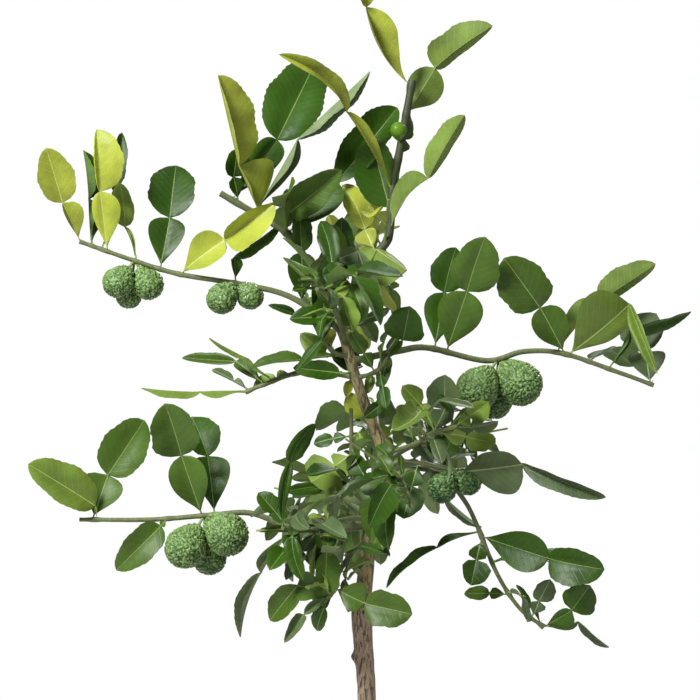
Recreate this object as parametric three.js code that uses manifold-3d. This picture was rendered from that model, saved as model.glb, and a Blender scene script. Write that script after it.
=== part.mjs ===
// A young makrut lime tree in a plain terracotta pot.
// Millimetres, +Z up, +X to the right and +Y away from the viewer. The origin is the centre of the
// pot's flat underside. The trunk, each bough, each leafy mass, the soil and the pot are one solid each.

import * as THREE from "three";
import Module from "manifold-3d";

const wasm = await Module();
wasm.setup();

// Pot and soil
const POT = {
  height: 262,
  baseRadius: 98,
  baseRound: 3,
  underRimRadius: 138,
  rimRadius: 150,
  rimHeight: 46,
  lipRadius: 4,
  ledge: 6, // how far above the foot of the rim the inside starts to widen
  ledgeWidth: 2,
  ledgeRise: 8,
  wall: 10,
  floor: 14,
  sides: 36,
  drainRadius: 7,
  drainOffset: 58,
  drains: 4,
};
const SOIL_TOP = 235;
const SEAT = 0.3; // clear space between pieces that meet
const FUSE_TOLERANCE = 0.03; // slivers under this are smoothed away where leaves are fused

// Trunk: bends as [x, y, height above the soil], girth as [height above the soil, radius]
const TRUNK_BENDS = [
  [0, 0, 0],
  [2, 2, 120],
  [-3, -2, 205],
  [1, 0, 262],
  [5, 2, 300],
  [23, 4, 356],
  [19, 3, 395],
  [5, 0, 432],
  [-12, -1, 480],
  [-27.5, -3, 536],
];
const TRUNK_GIRTH = [
  [0, 16],
  [14, 12.4],
  [45, 10.6],
  [150, 9.9],
  [190, 10.6],
  [215, 12.3],
  [240, 9.2],
  [300, 8.2],
  [356, 7.4],
  [430, 6.5],
  [536, 5.8],
];
const TRUNK_STEPS = 20;
const TRUNK_SIDES = 9;
const BOUGH_SIDES = 6;
const BOUGH_STEP = 24; // length of one facet along a bough or stem

// Leaves: a winged stalk, a narrow waist and a blade. Shares are of the leaf's whole length.
const LEAF = {
  rootHalfWidth: 1.3,
  wingHalfWidth: 0.165,
  wingWidest: 0.7,
  waistHalfWidth: 0.02,
  bladeHalfWidth: 0.175,
  bladeWidest: 0.36,
  bladeFarHalfWidth: 0.155,
  bladeFar: 0.74,
  keel: 1 / 60,
};
const WING_SHARE = [0.4, 0.5]; // of the leaf's length
const FACING_TOWARD = [8, 30]; // degrees that a leaf seen face on leans to or from the viewer
const LEANS = [1, -1, 0.4, -0.4, 1.5, -1.5]; // shares of that lean, tried in turn
const FREE_LENGTH = [62, 116];
const FREE_BREADTH = [0.75, 1.1];
const FREE_TURN = [-16, 16];
const FREE_DROOP = [-8, 30];
const FREE_TILT = [-35, 35];
const FREE_OUTWARD = 0.85; // shares of a free leaf's way: out from the twig, along it and up
const FREE_ALONG = [0.25, 0.7];
const FREE_UPWARD = [0.05, 0.55];
const LIGHT_FROM_ABOVE = 0.7; // an upper face looks up, and a little back towards the twig
const LIGHT_FROM_OUTSIDE = -0.45;
const FACING_DROOP = [-4, 15];
const ROOT_LENGTH = 14;
const GOLDEN_ANGLE = 137.5;
const SPIRAL_SPREAD = [0, 40];
const PLACE_SPREAD = 0.6; // of the way to the next leaf

// Side twigs
const TWIG_LENGTH = [60, 110];
const TWIG_LEAVES = 7;
const TWIG_RADIUS = 1.7;
const TWIG_TIP_RADIUS = 1.1;
const TWIG_START = 8; // past the foot of the stem
const TWIG_BARE = 0.3; // share of a side twig below its first leaf
const TWIG_SIDES = 3;
const TWIG_AROUND = [60, 120];
const TWIG_OUTWARD = 0.8; // shares of a twig's way, as for a leaf
const TWIG_ALONG = 0.5;
const TWIG_UPWARD = [0.1, 0.4];

// Fruit
const FRUIT_SIDES = 8;
const FRUIT_RINGS = [[-0.88, 0.5], [-0.4, 0.93], [0.35, 0.96]]; // [along the axis, radius], of its radius
const FRUIT_NECK = 1.25;
const STALK_END = 0.4; // inside the fruit, in its radius
const STALK_RADIUS = 1.6;

// How finely places and directions along a curve are found
const HALVINGS = 40;
const PLACE_STEPS = 400;
const TANGENT_STEP = 0.01;
const UPRIGHT = 0.9;

const DEGREE = Math.PI / 180;
const UP = new THREE.Vector3(0, 0, 1);
const TO_VIEWER = new THREE.Vector3(0, -1, 0);

// Each limb leaves the trunk at `height` above the soil towards `azimuth` (0 right, 90 away, 180 left,
// -90 to the viewer). `bends` are [out, up] from there. It is bare as far as `bare` along its run, where
// the bough ends and the stem of its leafy mass goes on. With `steep` a place on it is told by its rise.
// `facing` leaves are [place, heading, length, turn at the waist, roll, breadth, wing's share]: places and
// lengths in mm, headings in degrees in the front view, 0 right and 90 up. `fruit` is [place, aside, down,
// forward, diameter] in mm from the stem. Up to `free` leaves and `twigs` grow by the seeded rule inside
// the mass's own `space`, [left, right, low, high] in mm.
const LIMBS = [
  {
    name: "leader",
    height: 534,
    azimuth: 0,
    bends: [[13, 35], [38, 74], [53, 96], [57, 144], [69, 211], [79, 267]],
    radii: [5.2, 4.2],
    bare: 26,
    steep: true,
    seed: 11,
    space: [-70, 55, 790, 1000],
    facing: [
      [261, 118, 168, -24, 15, 0.85, 0.56],
      [229, 60, 127, -14, 0, 0.95, 0.46],
      [93, 56, 154, 8, 20, 0.8, 0.5],
      [145, 121, 184, 13, 40, 0.7, 0.52],
      [119, 88, 90, 5, 0, 1.3, 0.1],
      [76, 115, 86, -10, 0, 1.15, 0.36],
      [44, 60, 80, -60, 10, 1.1, 0.5],
      [180, 72, 60, 10, 55, 0.8],
    ],
    fruit: [[191, -2, -20, 8, 19]],
    free: 12,
    twigs: 1,
  },
  {
    name: "upper_left",
    height: 534,
    azimuth: 180,
    bends: [[8, 15], [45, 82], [65, 104], [94, 121], [132, 143]],
    radii: [4.4, 3.6],
    bare: 30,
    seed: 12,
    space: [-150, -40, 850, 960],
    facing: [
      [119, 54, 175, 11, 0, 1.05, 0.44],
      [86, 117, 157, -11, 35, 0.9, 0.37],
      [72, 37, 92, 0, 15, 1.1, 0.12],
      [94, 55, 178, -17, 60, 0.65, 0.47],
      [58, 47, 172, 8, 10, 0.85, 0.42],
      [60, 96, 48, -8, 20, 1, 0.1],
      [112, 100, 60, -20, 30, 0.9],
    ],
    free: 8,
    twigs: 0,
  },
  {
    name: "left_top",
    height: 526,
    azimuth: 180,
    bends: [[57, 37], [112, 51], [179, 62], [229, 77], [289, 98]],
    radii: [3.6, 2.2],
    bare: 74,
    seed: 13,
    space: [-330, -90, 815, 985],
    facing: [
      [288, 113, 107, -8, 0, 1.05, 0.43],
      [274, 95, 106, -3, 66, 0.9, 0.5],
      [258, 96, 130, -3, 0, 0.8, 0.5],
      [264, 80, 132, 4, 45, 0.7, 0.5],
      [226, 109, 90, -15, 45, 0.95, 0.45],
      [200, 81, 122, 5, 0, 1.1, 0.48],
      [178, 37, 125, 0, -15, 0.98, 0.48],
      [117, 95, 95, -60, 30, 0.8, 0.3],
    ],
    fruit: [
      [228, -18, 24, 6, 33],
      [228, 15, 26, -2, 33],
      [228, -8, 38, -20, 28],
      [117, -15, 17, 4, 33],
      [117, 16, 14, -4, 29],
    ],
    free: 3,
    twigs: 0,
  },
  {
    name: "left_middle",
    height: 476,
    azimuth: 180,
    bends: [[58, 4], [102, -10], [121, -18]],
    radii: [3, 2],
    bare: 48,
    seed: 14,
    space: [-150, -60, 690, 745],
    facing: [
      [120, 180, 113, 0, 60, 0.5],
      [100, 152, 88, 24, 20, 0.7],
      [90, 140, 84, 15, 60, 0.5],
      [116, 150, 48, 0, 40, 1],
      [66, 196, 50, 0, 60, 0.9],
    ],
    free: 8,
    twigs: 0,
  },
  {
    name: "left_lower",
    height: 312,
    azimuth: 180,
    bends: [[56, -6], [90, -3], [134, 13], [178, 11], [244, 6], [323, 6]],
    radii: [4, 2.3],
    bare: 150,
    seed: 15,
    space: [-370, -150, 490, 680],
    facing: [
      [303, 95, 98, 50, 15, 1.15, 0.16],
      [308, 72, 124, -15, 0, 1.1, 0.42],
      [187, 108, 131, -5, 0, 1.08, 0.53],
      [174, 98, 115, 12, 15, 1.05, 0.56],
      [225, 225, 75, 0, 0, 1.25, 0.14],
    ],
    fruit: [
      [185, -21, 35, 8, 44],
      [185, 25, 21, 2, 46],
      [185, 4, 48, -22, 37],
    ],
    free: 3,
    twigs: 0,
  },
  {
    name: "right_top",
    height: 492,
    azimuth: 0,
    bends: [[54, 12], [86, 15], [149, 1], [190, 11], [233, 9], [292, -11], [333, -26]],
    radii: [3.9, 2.3],
    bare: 78,
    seed: 16,
    space: [60, 340, 690, 860],
    facing: [
      [104, 72, 130, 4, 0, 1.08, 0.53],
      [92, 80, 115, 0, 0, 1, 0.55],
      [235, 119, 121, 8, 0, 1.15, 0.47],
      [226, 50, 150, -17, 20, 0.8, 0.49],
      [238, 40, 163, -111, 25, 0.75, 0.46],
      [283, 62, 124, -47, 40, 0.85, 0.38],
      [329, 95, 82, 5, 0, 1.4, 0.45],
      [170, -50, 62, 0, 30, 0.9],
    ],
    fruit: [
      [162, -24, 33, 8, 45],
      [162, 24, 27, 2, 47],
      [162, -3, 47, -22, 37],
    ],
    free: 3,
    twigs: 0,
  },
  {
    name: "right_middle",
    height: 374,
    azimuth: -12,
    bends: [[14, 8], [40, 6], [86, -4]],
    radii: [2.8, 2],
    bare: 30,
    seed: 17,
    space: [20, 150, 560, 660],
    facing: [
      [80, 8, 134, -30, 35, 0.7],
      [72, 120, 44, 0, 0, 1.2],
      [36, 262, 62, 0, 10, 1.2],
      [44, -60, 100, 15, 60, 0.6],
      [60, 70, 70, -10, 20, 0.9],
    ],
    fruit: [
      [76, -14, 19, 6, 32],
      [76, 15, 12, -2, 29],
    ],
    free: 8,
    twigs: 0,
  },
  {
    name: "right_lower",
    height: 350,
    azimuth: 5,
    bends: [[12, 16], [39, 24], [67, 13], [88, -11], [102, -38], [125, -93], [150, -131], [177, -152]],
    radii: [3.3, 2],
    bare: 86,
    seed: 18,
    space: [100, 270, 390, 560],
    facing: [
      [107, -17, 128, 4, 10, 1.1, 0.58],
      [105, 196, 122, 10, 55, 0.6],
      [108, 255, 52, 0, 20, 1.2],
      [138, 180, 52, 0, 20, 0.7],
      [162, 65, 42, 0, 20, 1],
      [174, 120, 52, 0, 30, 0.9],
      [176, 33, 70, 24, 0, 1.2],
      [175, -23, 62, 0, 40, 0.9],
    ],
    free: 5,
    twigs: 0,
  },
  {
    name: "right_centre",
    height: 390,
    azimuth: -45,
    bends: [[50, 13], [73, 24], [112, 33]],
    radii: [2.6, 1.9],
    bare: 34,
    seed: 19,
    space: [15, 150, 590, 720],
    facing: [
      [76, 65, 66, 25, 0, 1.5, 0.42],
      [78, 118, 62, 15, 20, 0.95, 0.55],
      [106, 36, 46, 0, 0, 1.4],
      [82, -10, 66, -5, 20, 1],
      [100, 5, 50, 0, 60, 0.8],
      [50, 120, 40, 0, 0, 1.2],
    ],
    free: 14,
    twigs: 1,
  },
  {
    name: "left_cluster",
    height: 318,
    azimuth: -140,
    bends: [[40, 2], [85, -8], [130, -4]],
    radii: [3.2, 2.2],
    bare: 38,
    seed: 20,
    space: [-122, 10, 445, 605],
    facing: [
      [129, 83, 119, -30, 20, 0.8, 0.6],
      [122, 130, 50, 0, 30, 1.1],
      [103, 229, 52, 0, 20, 1.1],
      [115, 234, 137, 5, 40, 0.65],
      [80, 234, 58, 0, 20, 1],
      [52, 240, 62, 0, 20, 1],
      [64, 190, 80, -12, 20, 0.9],
    ],
    free: 18,
    twigs: 1,
  },
  {
    name: "front_low",
    height: 292,
    azimuth: -118,
    bends: [[30, -4], [60, -22], [88, -52]],
    radii: [2.8, 1.9],
    bare: 26,
    seed: 21,
    space: [-110, 30, 410, 550],
    facing: [
      [80, -26, 84, 15, 0, 1.2],
      [84, 171, 88, 60, 10, 1.1],
      [86, 215, 78, 27, 20, 0.9],
      [82, 275, 50, 0, 30, 1.1],
      [56, 240, 62, 0, 30, 1],
    ],
    free: 12,
    twigs: 0,
  },
  {
    name: "front_mid",
    height: 366,
    azimuth: -82,
    bends: [[60, 6], [120, -4], [176, -26]],
    radii: [3, 2],
    bare: 40,
    seed: 22,
    space: [-40, 85, 545, 665],
    facing: [],
    free: 26,
    twigs: 2,
  },
  {
    name: "front_high",
    height: 510,
    azimuth: -100,
    bends: [[60, 34], [120, 55], [176, 58]],
    radii: [3, 2],
    bare: 36,
    seed: 43,
    space: [-80, 45, 740, 915],
    facing: [
      [60, 284, 76, -10, 50, 0.9],
      [50, 120, 60, 10, 30, 1],
    ],
    free: 20,
    twigs: 1,
  },
  {
    name: "back_low",
    height: 300,
    azimuth: 98,
    bends: [[80, 10], [170, 25], [250, 22]],
    radii: [3.4, 2],
    bare: 70,
    seed: 24,
    space: [-120, 45, 455, 625],
    facing: [],
    free: 26,
    twigs: 2,
  },
  {
    name: "back_left",
    height: 326,
    azimuth: 118,
    bends: [[70, 12], [140, 20], [200, 10]],
    radii: [3.2, 2],
    bare: 60,
    seed: 25,
    space: [-125, 20, 450, 610],
    facing: [],
    free: 26,
    twigs: 2,
  },
  {
    name: "back_right",
    height: 382,
    azimuth: 56,
    bends: [[60, 16], [120, 16], [176, 4]],
    radii: [3.2, 2],
    bare: 56,
    seed: 26,
    space: [10, 165, 560, 710],
    facing: [],
    free: 22,
    twigs: 2,
  },
  {
    name: "back_middle",
    height: 412,
    azimuth: 90,
    bends: [[100, 16], [200, -6], [296, -46]],
    radii: [3.6, 2.2],
    bare: 92,
    seed: 27,
    space: [-50, 75, 540, 700],
    facing: [],
    free: 26,
    twigs: 2,
  },
  {
    name: "back_high",
    height: 500,
    azimuth: 96,
    bends: [[80, 50], [160, 90], [236, 108]],
    radii: [3.4, 2],
    bare: 66,
    seed: 28,
    space: [-75, 70, 745, 950],
    facing: [],
    free: 26,
    twigs: 2,
  },
  {
    name: "fork_twig_left",
    height: 498,
    azimuth: -158,
    bends: [[18, 4], [34, 22], [46, 46]],
    radii: [2.4, 1.8],
    bare: 0,
    seed: 29,
    space: [-110, -20, 700, 860],
    facing: [
      [30, 91, 96, -15, 20, 0.95],
      [44, 78, 84, -6, 30, 0.8],
      [10, 174, 96, 0, 60, 0.8],
      [20, 110, 60, 0, 20, 1.1],
      [40, 150, 56, 10, 20, 1.1],
    ],
    free: 5,
    twigs: 0,
  },
  {
    name: "fork_twig_right",
    height: 474,
    azimuth: -30,
    bends: [[18, 4], [30, 10], [40, 22]],
    radii: [2.4, 1.8],
    bare: 0,
    seed: 30,
    space: [-10, 60, 690, 790],
    facing: [
      [36, 51, 64, 28, 0, 1.5, 0.46],
      [26, -64, 118, 10, 40, 0.65],
      [24, 120, 50, 0, 20, 1],
      [30, -80, 44, 0, 30, 1],
    ],
    free: 5,
    twigs: 0,
  },
  {
    name: "centre_twig",
    height: 336,
    azimuth: -152,
    bends: [[30, 10], [36, 58], [37, 105]],
    radii: [2.6, 2],
    bare: 0,
    steep: true,
    seed: 31,
    space: [-70, 30, 570, 670],
    facing: [
      [55, 215, 50, 0, 10, 1.2],
      [74, 188, 42, 0, 30, 1],
      [58, -58, 42, 0, 40, 0.9],
      [62, -66, 60, 0, 20, 1],
      [24, 186, 74, 0, 30, 0.85],
      [20, -20, 54, -20, 10, 1.1],
    ],
    free: 6,
    twigs: 0,
  },
];

// Colours from the photograph
const COLOURS = {
  bark: "#7d6f56",
  greenBark: "#7f7b55",
  leaf: "#3f6a2c",
  leafDark: "#2f5526",
  leafYoung: "#8fa63a",
  terracotta: "#b5623f",
  soil: "#3b2c22",
};

// Numbers between 0 and 1 from a seed, the same each time
class Seed {
  constructor(start) {
    this.state = start >>> 0;
    this.next();
  }

  next() {
    this.state = (Math.imul(this.state, 1664525) + 1013904223) >>> 0;
    return this.state / 4294967296;
  }

  span([low, high]) {
    return low + (high - low) * this.next();
  }
}

// Solids from rings of points, each ring as many points as the last, with a lone point for a tip
function solidFromRings(rings) {
  const points = [];
  const faces = [];
  const starts = rings.map((ring) => {
    points.push(...ring);
    return points.length - ring.length;
  });
  for (let i = 1; i < rings.length; i += 1) {
    const count = rings[i - 1].length;
    const last = rings[i].length === 1;
    for (let j = 0; j < count; j += 1) {
      const near = starts[i - 1] + j;
      const nearNext = starts[i - 1] + ((j + 1) % count);
      const far = last ? starts[i] : starts[i] + j;
      const farNext = last ? starts[i] : starts[i] + ((j + 1) % count);
      faces.push([near, nearNext, farNext]);
      if (!last) faces.push([near, farNext, far]);
    }
  }
  closeRing(faces, starts[0], rings[0].length, true);
  closeRing(faces, starts[starts.length - 1], rings[rings.length - 1].length, false);
  return solidFromFaces(points, faces);
}

function closeRing(faces, start, count, first) {
  for (let j = 1; j < count - 1; j += 1) {
    const near = start + j;
    faces.push(first ? [start, near + 1, near] : [start, near, near + 1]);
  }
}

function solidFromFaces(points, faces) {
  const volume = faces.reduce((sum, [a, b, c]) => {
    const cross = new THREE.Vector3().crossVectors(points[b], points[c]);
    return sum + points[a].dot(cross);
  }, 0);
  const outward = volume > 0 ? faces : faces.map(([a, b, c]) => [a, c, b]);
  const mesh = new wasm.Mesh({
    numProp: 3,
    vertProperties: new Float32Array(points.flatMap((p) => p.toArray())),
    triVerts: new Uint32Array(outward.flat()),
  });
  return new wasm.Manifold(mesh);
}

function solidFromGeometry(geometry) {
  const position = geometry.getAttribute("position");
  const index = geometry.index ? Array.from(geometry.index.array) : [...Array(position.count).keys()];
  const points = [];
  const known = new Map();
  const merged = index.map((i) => {
    const point = new THREE.Vector3().fromBufferAttribute(position, i);
    const key = point.toArray().map((value) => Math.round(value * 1e4)).join(" ");
    if (!known.has(key)) {
      known.set(key, points.length);
      points.push(point);
    }
    return known.get(key);
  });
  const faces = [];
  for (let i = 0; i < merged.length; i += 3) {
    const [a, b, c] = merged.slice(i, i + 3);
    if (a !== b && b !== c && c !== a) faces.push([a, b, c]);
  }
  return solidFromFaces(points, faces);
}

function unite(solids) {
  return wasm.Manifold.union(solids);
}

function largestBody(solid) {
  return solid.decompose().reduce((best, body) => (body.volume() > best.volume() ? body : best));
}

// A grown piece with its box, so that only pieces near each other are compared
function piece(solid, owner, kind) {
  return { solid, owner, kind, box: solid.boundingBox() };
}

function touches(candidate, others) {
  return others.some(
    (other) =>
      [0, 1, 2].every(
        (i) =>
          candidate.box.min[i] - SEAT < other.box.max[i] && other.box.min[i] - SEAT < candidate.box.max[i],
      ) && candidate.solid.minGap(other.solid, SEAT) < SEAT,
  );
}

// Tapering limbs along curves
function valueAt(table, place) {
  const after = table.findIndex(([at]) => at >= place);
  if (after <= 0) return table[Math.max(after, 0)][1];
  const [nearAt, near] = table[after - 1];
  const [farAt, far] = table[after];
  return near + ((far - near) * (place - nearAt)) / (farAt - nearAt);
}

function ringAt(centre, side, front, radius, sides) {
  return Array.from({ length: sides }, (_, i) => {
    const angle = (2 * Math.PI * i) / sides;
    return centre
      .clone()
      .addScaledVector(side, radius * Math.cos(angle))
      .addScaledVector(front, radius * Math.sin(angle));
  });
}

// `stops` are places on the curve from 0 to 1, and `radiusAt` gives the radius at each
function limbSolid(curve, stops, radiusAt, sides) {
  const first = directionAt(curve, stops[0]);
  let side = Math.abs(first.z) < UPRIGHT ? UP.clone() : new THREE.Vector3(1, 0, 0);
  const rings = stops.map((stop) => {
    const along = directionAt(curve, stop);
    side = side.clone().addScaledVector(along, -side.dot(along)).normalize();
    const front = new THREE.Vector3().crossVectors(along, side);
    return ringAt(curve.getPoint(stop), side, front, radiusAt(stop), sides);
  });
  return solidFromRings(rings);
}

function directionAt(curve, stop) {
  const near = curve.getPoint(Math.max(stop - TANGENT_STEP, 0));
  const far = curve.getPoint(Math.min(stop + TANGENT_STEP, 1));
  return far.sub(near).normalize();
}

function evenStops(from, to, count) {
  return Array.from({ length: count + 1 }, (_, i) => from + ((to - from) * i) / count);
}

function smoothCurve(points) {
  return new THREE.CatmullRomCurve3(points, false, "catmullrom", 0.5);
}

const trunkCurve = smoothCurve(
  TRUNK_BENDS.map(([x, y, height]) => new THREE.Vector3(x, y, SOIL_TOP + SEAT + height)),
);
const trunkHeight = TRUNK_BENDS[TRUNK_BENDS.length - 1][2];

function trunkStop(height) {
  let low = 0;
  let high = 1;
  for (let i = 0; i < HALVINGS; i += 1) {
    const middle = (low + high) / 2;
    if (trunkCurve.getPoint(middle).z < SOIL_TOP + SEAT + height) low = middle;
    else high = middle;
  }
  return low;
}

function trunkSolid(grown) {
  const stops = evenStops(0, 1, TRUNK_STEPS);
  const radiusAt = (stop) => {
    const height = trunkCurve.getPoint(stop).z - SOIL_TOP - SEAT;
    return valueAt(TRUNK_GIRTH, Math.min(Math.max(height, 0), trunkHeight)) + grown;
  };
  const first = new THREE.Vector3(1, 0, 0);
  const second = new THREE.Vector3(0, 1, 0);
  return solidFromRings(
    stops.map((stop) => {
      const centre = trunkCurve.getPoint(stop);
      if (stop === 1) centre.z += grown;
      return ringAt(centre, first, second, radiusAt(stop), TRUNK_SIDES);
    }),
  );
}

// A limb's curve, its radius, and the place on it that lies a given way out or up
function limbOf(row) {
  const base = trunkCurve.getPoint(trunkStop(row.height));
  const angle = row.azimuth * DEGREE;
  const out = new THREE.Vector3(Math.cos(angle), Math.sin(angle), 0);
  const points = [[0, 0], ...row.bends].map(([away, rise]) =>
    base.clone().addScaledVector(out, away).addScaledVector(UP, rise),
  );
  const curve = smoothCurve(points);
  const [thick, slim] = row.radii;
  const stopAt = (place) => {
    for (let i = 0; i <= PLACE_STEPS; i += 1) {
      const from = curve.getPoint(i / PLACE_STEPS).sub(base);
      const reached = row.steep ? from.z : from.dot(out);
      if (reached >= place) return i / PLACE_STEPS;
    }
    return 1;
  };
  return {
    ...row,
    curve,
    length: curve.getLength(),
    radiusAt: (stop) => thick + (slim - thick) * stop,
    stopAt,
    bareStop: row.bare ? stopAt(row.bare) : 0,
  };
}

function limbPiece(limb, from, to, grown = 0) {
  const count = Math.max(2, Math.ceil((limb.length * (to - from)) / BOUGH_STEP));
  const stops = evenStops(from, to, count);
  return limbSolid(limb.curve, stops, (stop) => limb.radiusAt(stop) + grown, BOUGH_SIDES);
}

// A leaf as a frame to build on: where it starts, which way its wing and its blade point and face, and
// its sizes. A leaf seen face on has the length that shows, whichever way it leans.
function facingLeaf(limb, row, toward, drawn) {
  const [place, heading, seen, turn, roll, breadth, statedShare] = row;
  const share = statedShare ?? drawn.share;
  const axis = headingAxis(heading, toward);
  const bladeAxis = headingAxis(heading + turn, toward + drawn.droop);
  const foreshortening =
    share * Math.cos(toward * DEGREE) + (1 - share) * Math.cos((toward + drawn.droop) * DEGREE);
  return {
    base: limb.curve.getPoint(limb.stopAt(place)),
    axis,
    face: squareTo(TO_VIEWER, axis).applyAxisAngle(axis, roll * DEGREE),
    bladeAxis,
    bladeFace: squareTo(TO_VIEWER, bladeAxis).applyAxisAngle(bladeAxis, roll * DEGREE),
    length: seen / foreshortening,
    share,
    breadth,
  };
}

function headingAxis(heading, toward) {
  const angle = heading * DEGREE;
  const lean = toward * DEGREE;
  return new THREE.Vector3(
    Math.cos(angle) * Math.cos(lean),
    -Math.sin(lean),
    Math.sin(angle) * Math.cos(lean),
  );
}

// Leaves spiral round a twig. Each points outward, along and up, its upper face to the light.
function freeLeaf(curve, stop, order, random) {
  const along = directionAt(curve, stop);
  const around = (order * GOLDEN_ANGLE + random.span(SPIRAL_SPREAD)) * DEGREE;
  const radial = radialAt(along, around);
  const axis = radial
    .clone()
    .multiplyScalar(FREE_OUTWARD)
    .addScaledVector(along, random.span(FREE_ALONG))
    .addScaledVector(UP, random.span(FREE_UPWARD))
    .normalize();
  const light = UP.clone().multiplyScalar(LIGHT_FROM_ABOVE).addScaledVector(radial, LIGHT_FROM_OUTSIDE);
  const face = squareTo(light, axis).applyAxisAngle(axis, random.span(FREE_TILT) * DEGREE);
  const side = new THREE.Vector3().crossVectors(face, axis);
  const bladeAxis = axis
    .clone()
    .applyAxisAngle(face, random.span(FREE_TURN) * DEGREE)
    .applyAxisAngle(side, random.span(FREE_DROOP) * DEGREE);
  return {
    base: curve.getPoint(stop),
    axis,
    face,
    bladeAxis,
    bladeFace: squareTo(face, bladeAxis),
    length: random.span(FREE_LENGTH),
    share: random.span(WING_SHARE),
    breadth: random.span(FREE_BREADTH),
  };
}

function radialAt(along, around) {
  return squareTo(Math.abs(along.z) < UPRIGHT ? UP : TO_VIEWER, along).applyAxisAngle(along, around);
}

function squareTo(vector, axis) {
  return vector.clone().addScaledVector(axis, -vector.dot(axis)).normalize();
}

// The leaf's solid: a flat upper face over a keel along the midrib
function leafSolid({ base, axis, face, bladeAxis, bladeFace, length, share, breadth }) {
  const wing = length * share;
  const blade = length - wing;
  const waist = base.clone().addScaledVector(axis, wing);
  const keel = length * LEAF.keel;
  const wide = length * breadth;
  const ring = (start, along, run, upper, halfWidth, depth) => {
    const across = new THREE.Vector3().crossVectors(upper, along);
    const centre = start.clone().addScaledVector(along, run);
    return [
      centre.clone().addScaledVector(across, -halfWidth),
      centre.clone().addScaledVector(across, halfWidth),
      centre.clone().addScaledVector(upper, -depth),
    ];
  };
  return solidFromRings([
    ring(base, axis, 0, face, LEAF.rootHalfWidth, LEAF.rootHalfWidth),
    ring(base, axis, wing * LEAF.wingWidest, face, wide * LEAF.wingHalfWidth, keel),
    ring(base, axis, wing, face, length * LEAF.waistHalfWidth, keel),
    ring(waist, bladeAxis, blade * LEAF.bladeWidest, bladeFace, wide * LEAF.bladeHalfWidth, keel),
    ring(waist, bladeAxis, blade * LEAF.bladeFar, bladeFace, wide * LEAF.bladeFarHalfWidth, keel),
    [waist.clone().addScaledVector(bladeAxis, blade)],
  ]);
}

function twigSolid(start, end, startRadius, endRadius) {
  const curve = new THREE.LineCurve3(start, end);
  const radiusAt = (stop) => startRadius + (endRadius - startRadius) * stop;
  return limbSolid(curve, [0, 1], radiusAt, TWIG_SIDES);
}

// A fruit hangs from its stalk: a short neck over a round body
function fruitSolid(limb, [place, aside, down, forward, diameter]) {
  const start = limb.curve.getPoint(limb.stopAt(place));
  const centre = start.clone().add(new THREE.Vector3(aside, -forward, -down));
  const radius = diameter / 2;
  const axis = start.clone().sub(centre).normalize();
  const side = squareTo(Math.abs(axis.y) < UPRIGHT ? TO_VIEWER : UP, axis);
  const front = new THREE.Vector3().crossVectors(axis, side);
  const rings = FRUIT_RINGS.map(([rise, wide]) =>
    ringAt(centre.clone().addScaledVector(axis, radius * rise), side, front, radius * wide, FRUIT_SIDES),
  );
  const neck = centre.clone().addScaledVector(axis, radius * FRUIT_NECK);
  const inside = centre.clone().addScaledVector(axis, radius * STALK_END);
  return unite([solidFromRings([...rings, [neck]]), twigSolid(start, inside, STALK_RADIUS, STALK_RADIUS)]);
}

// A twig or a leaf stays in its mass's own space
function staysIn([left, right, low, high], { box }) {
  return box.min[0] > left && box.max[0] < right && box.min[2] > low && box.max[2] < high;
}

// The stem carries on from its bough, or starts at the trunk
function startMass(limb, owner) {
  const gap = SEAT / limb.length;
  const stem = limb.bare
    ? limbPiece(limb, limb.bareStop + gap, 1)
    : largestBody(limbPiece(limb, 0, 1).subtract(grownTrunk));
  grown.push(piece(stem, owner, "stem"));
}

function othersThan(owner) {
  return grown.filter((other) => other.owner !== owner);
}

function bladesOf(owner) {
  return grown.filter((other) => other.owner === owner && other.kind === "blade");
}

// Fruit, then the leaves seen face on, each leaned the first way that touches nothing
function growFacing(limb, owner) {
  const others = othersThan(owner);
  (limb.fruit ?? []).forEach((row) => {
    const fruit = piece(fruitSolid(limb, row), owner, "blade");
    if (!touches(fruit, others)) grown.push(fruit);
  });
  limb.facing.forEach((row, index) => {
    const first = limb.random.span(FACING_TOWARD) * (index % 2 ? -1 : 1);
    const drawn = { share: limb.random.span(WING_SHARE), droop: limb.random.span(FACING_DROOP) };
    const free = LEANS.map((share) => facingLeaf(limb, row, first * share, drawn))
      .map((leaf) => ({ leaf, whole: piece(leafSolid(leaf), owner, "blade") }))
      .filter(({ whole }) => !touches(whole, others));
    const own = bladesOf(owner);
    const clear = free.find(({ leaf }) => !touches(piece(leafSolid(beyondRoot(leaf)), owner), own));
    const best = clear ?? free[0];
    if (best) grown.push(best.whole);
  });
}

// The leaf past its first stretch, where it may not touch the leaves beside it
function beyondRoot(leaf) {
  return { ...leaf, base: leaf.base.clone().addScaledVector(leaf.axis, ROOT_LENGTH) };
}

function growFree(limb, owner, curve, start, count) {
  const others = othersThan(owner);
  for (let order = 0; order < count; order += 1) {
    const stop = start + ((1 - start) * (order + PLACE_SPREAD * limb.random.next())) / count;
    const leaf = freeLeaf(curve, stop, order, limb.random);
    const whole = piece(leafSolid(leaf), owner, "blade");
    const beyond = piece(leafSolid(beyondRoot(leaf)), owner);
    if (!staysIn(limb.space, whole) || touches(beyond, bladesOf(owner))) continue;
    if (!touches(whole, others)) grown.push(whole);
  }
}

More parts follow.
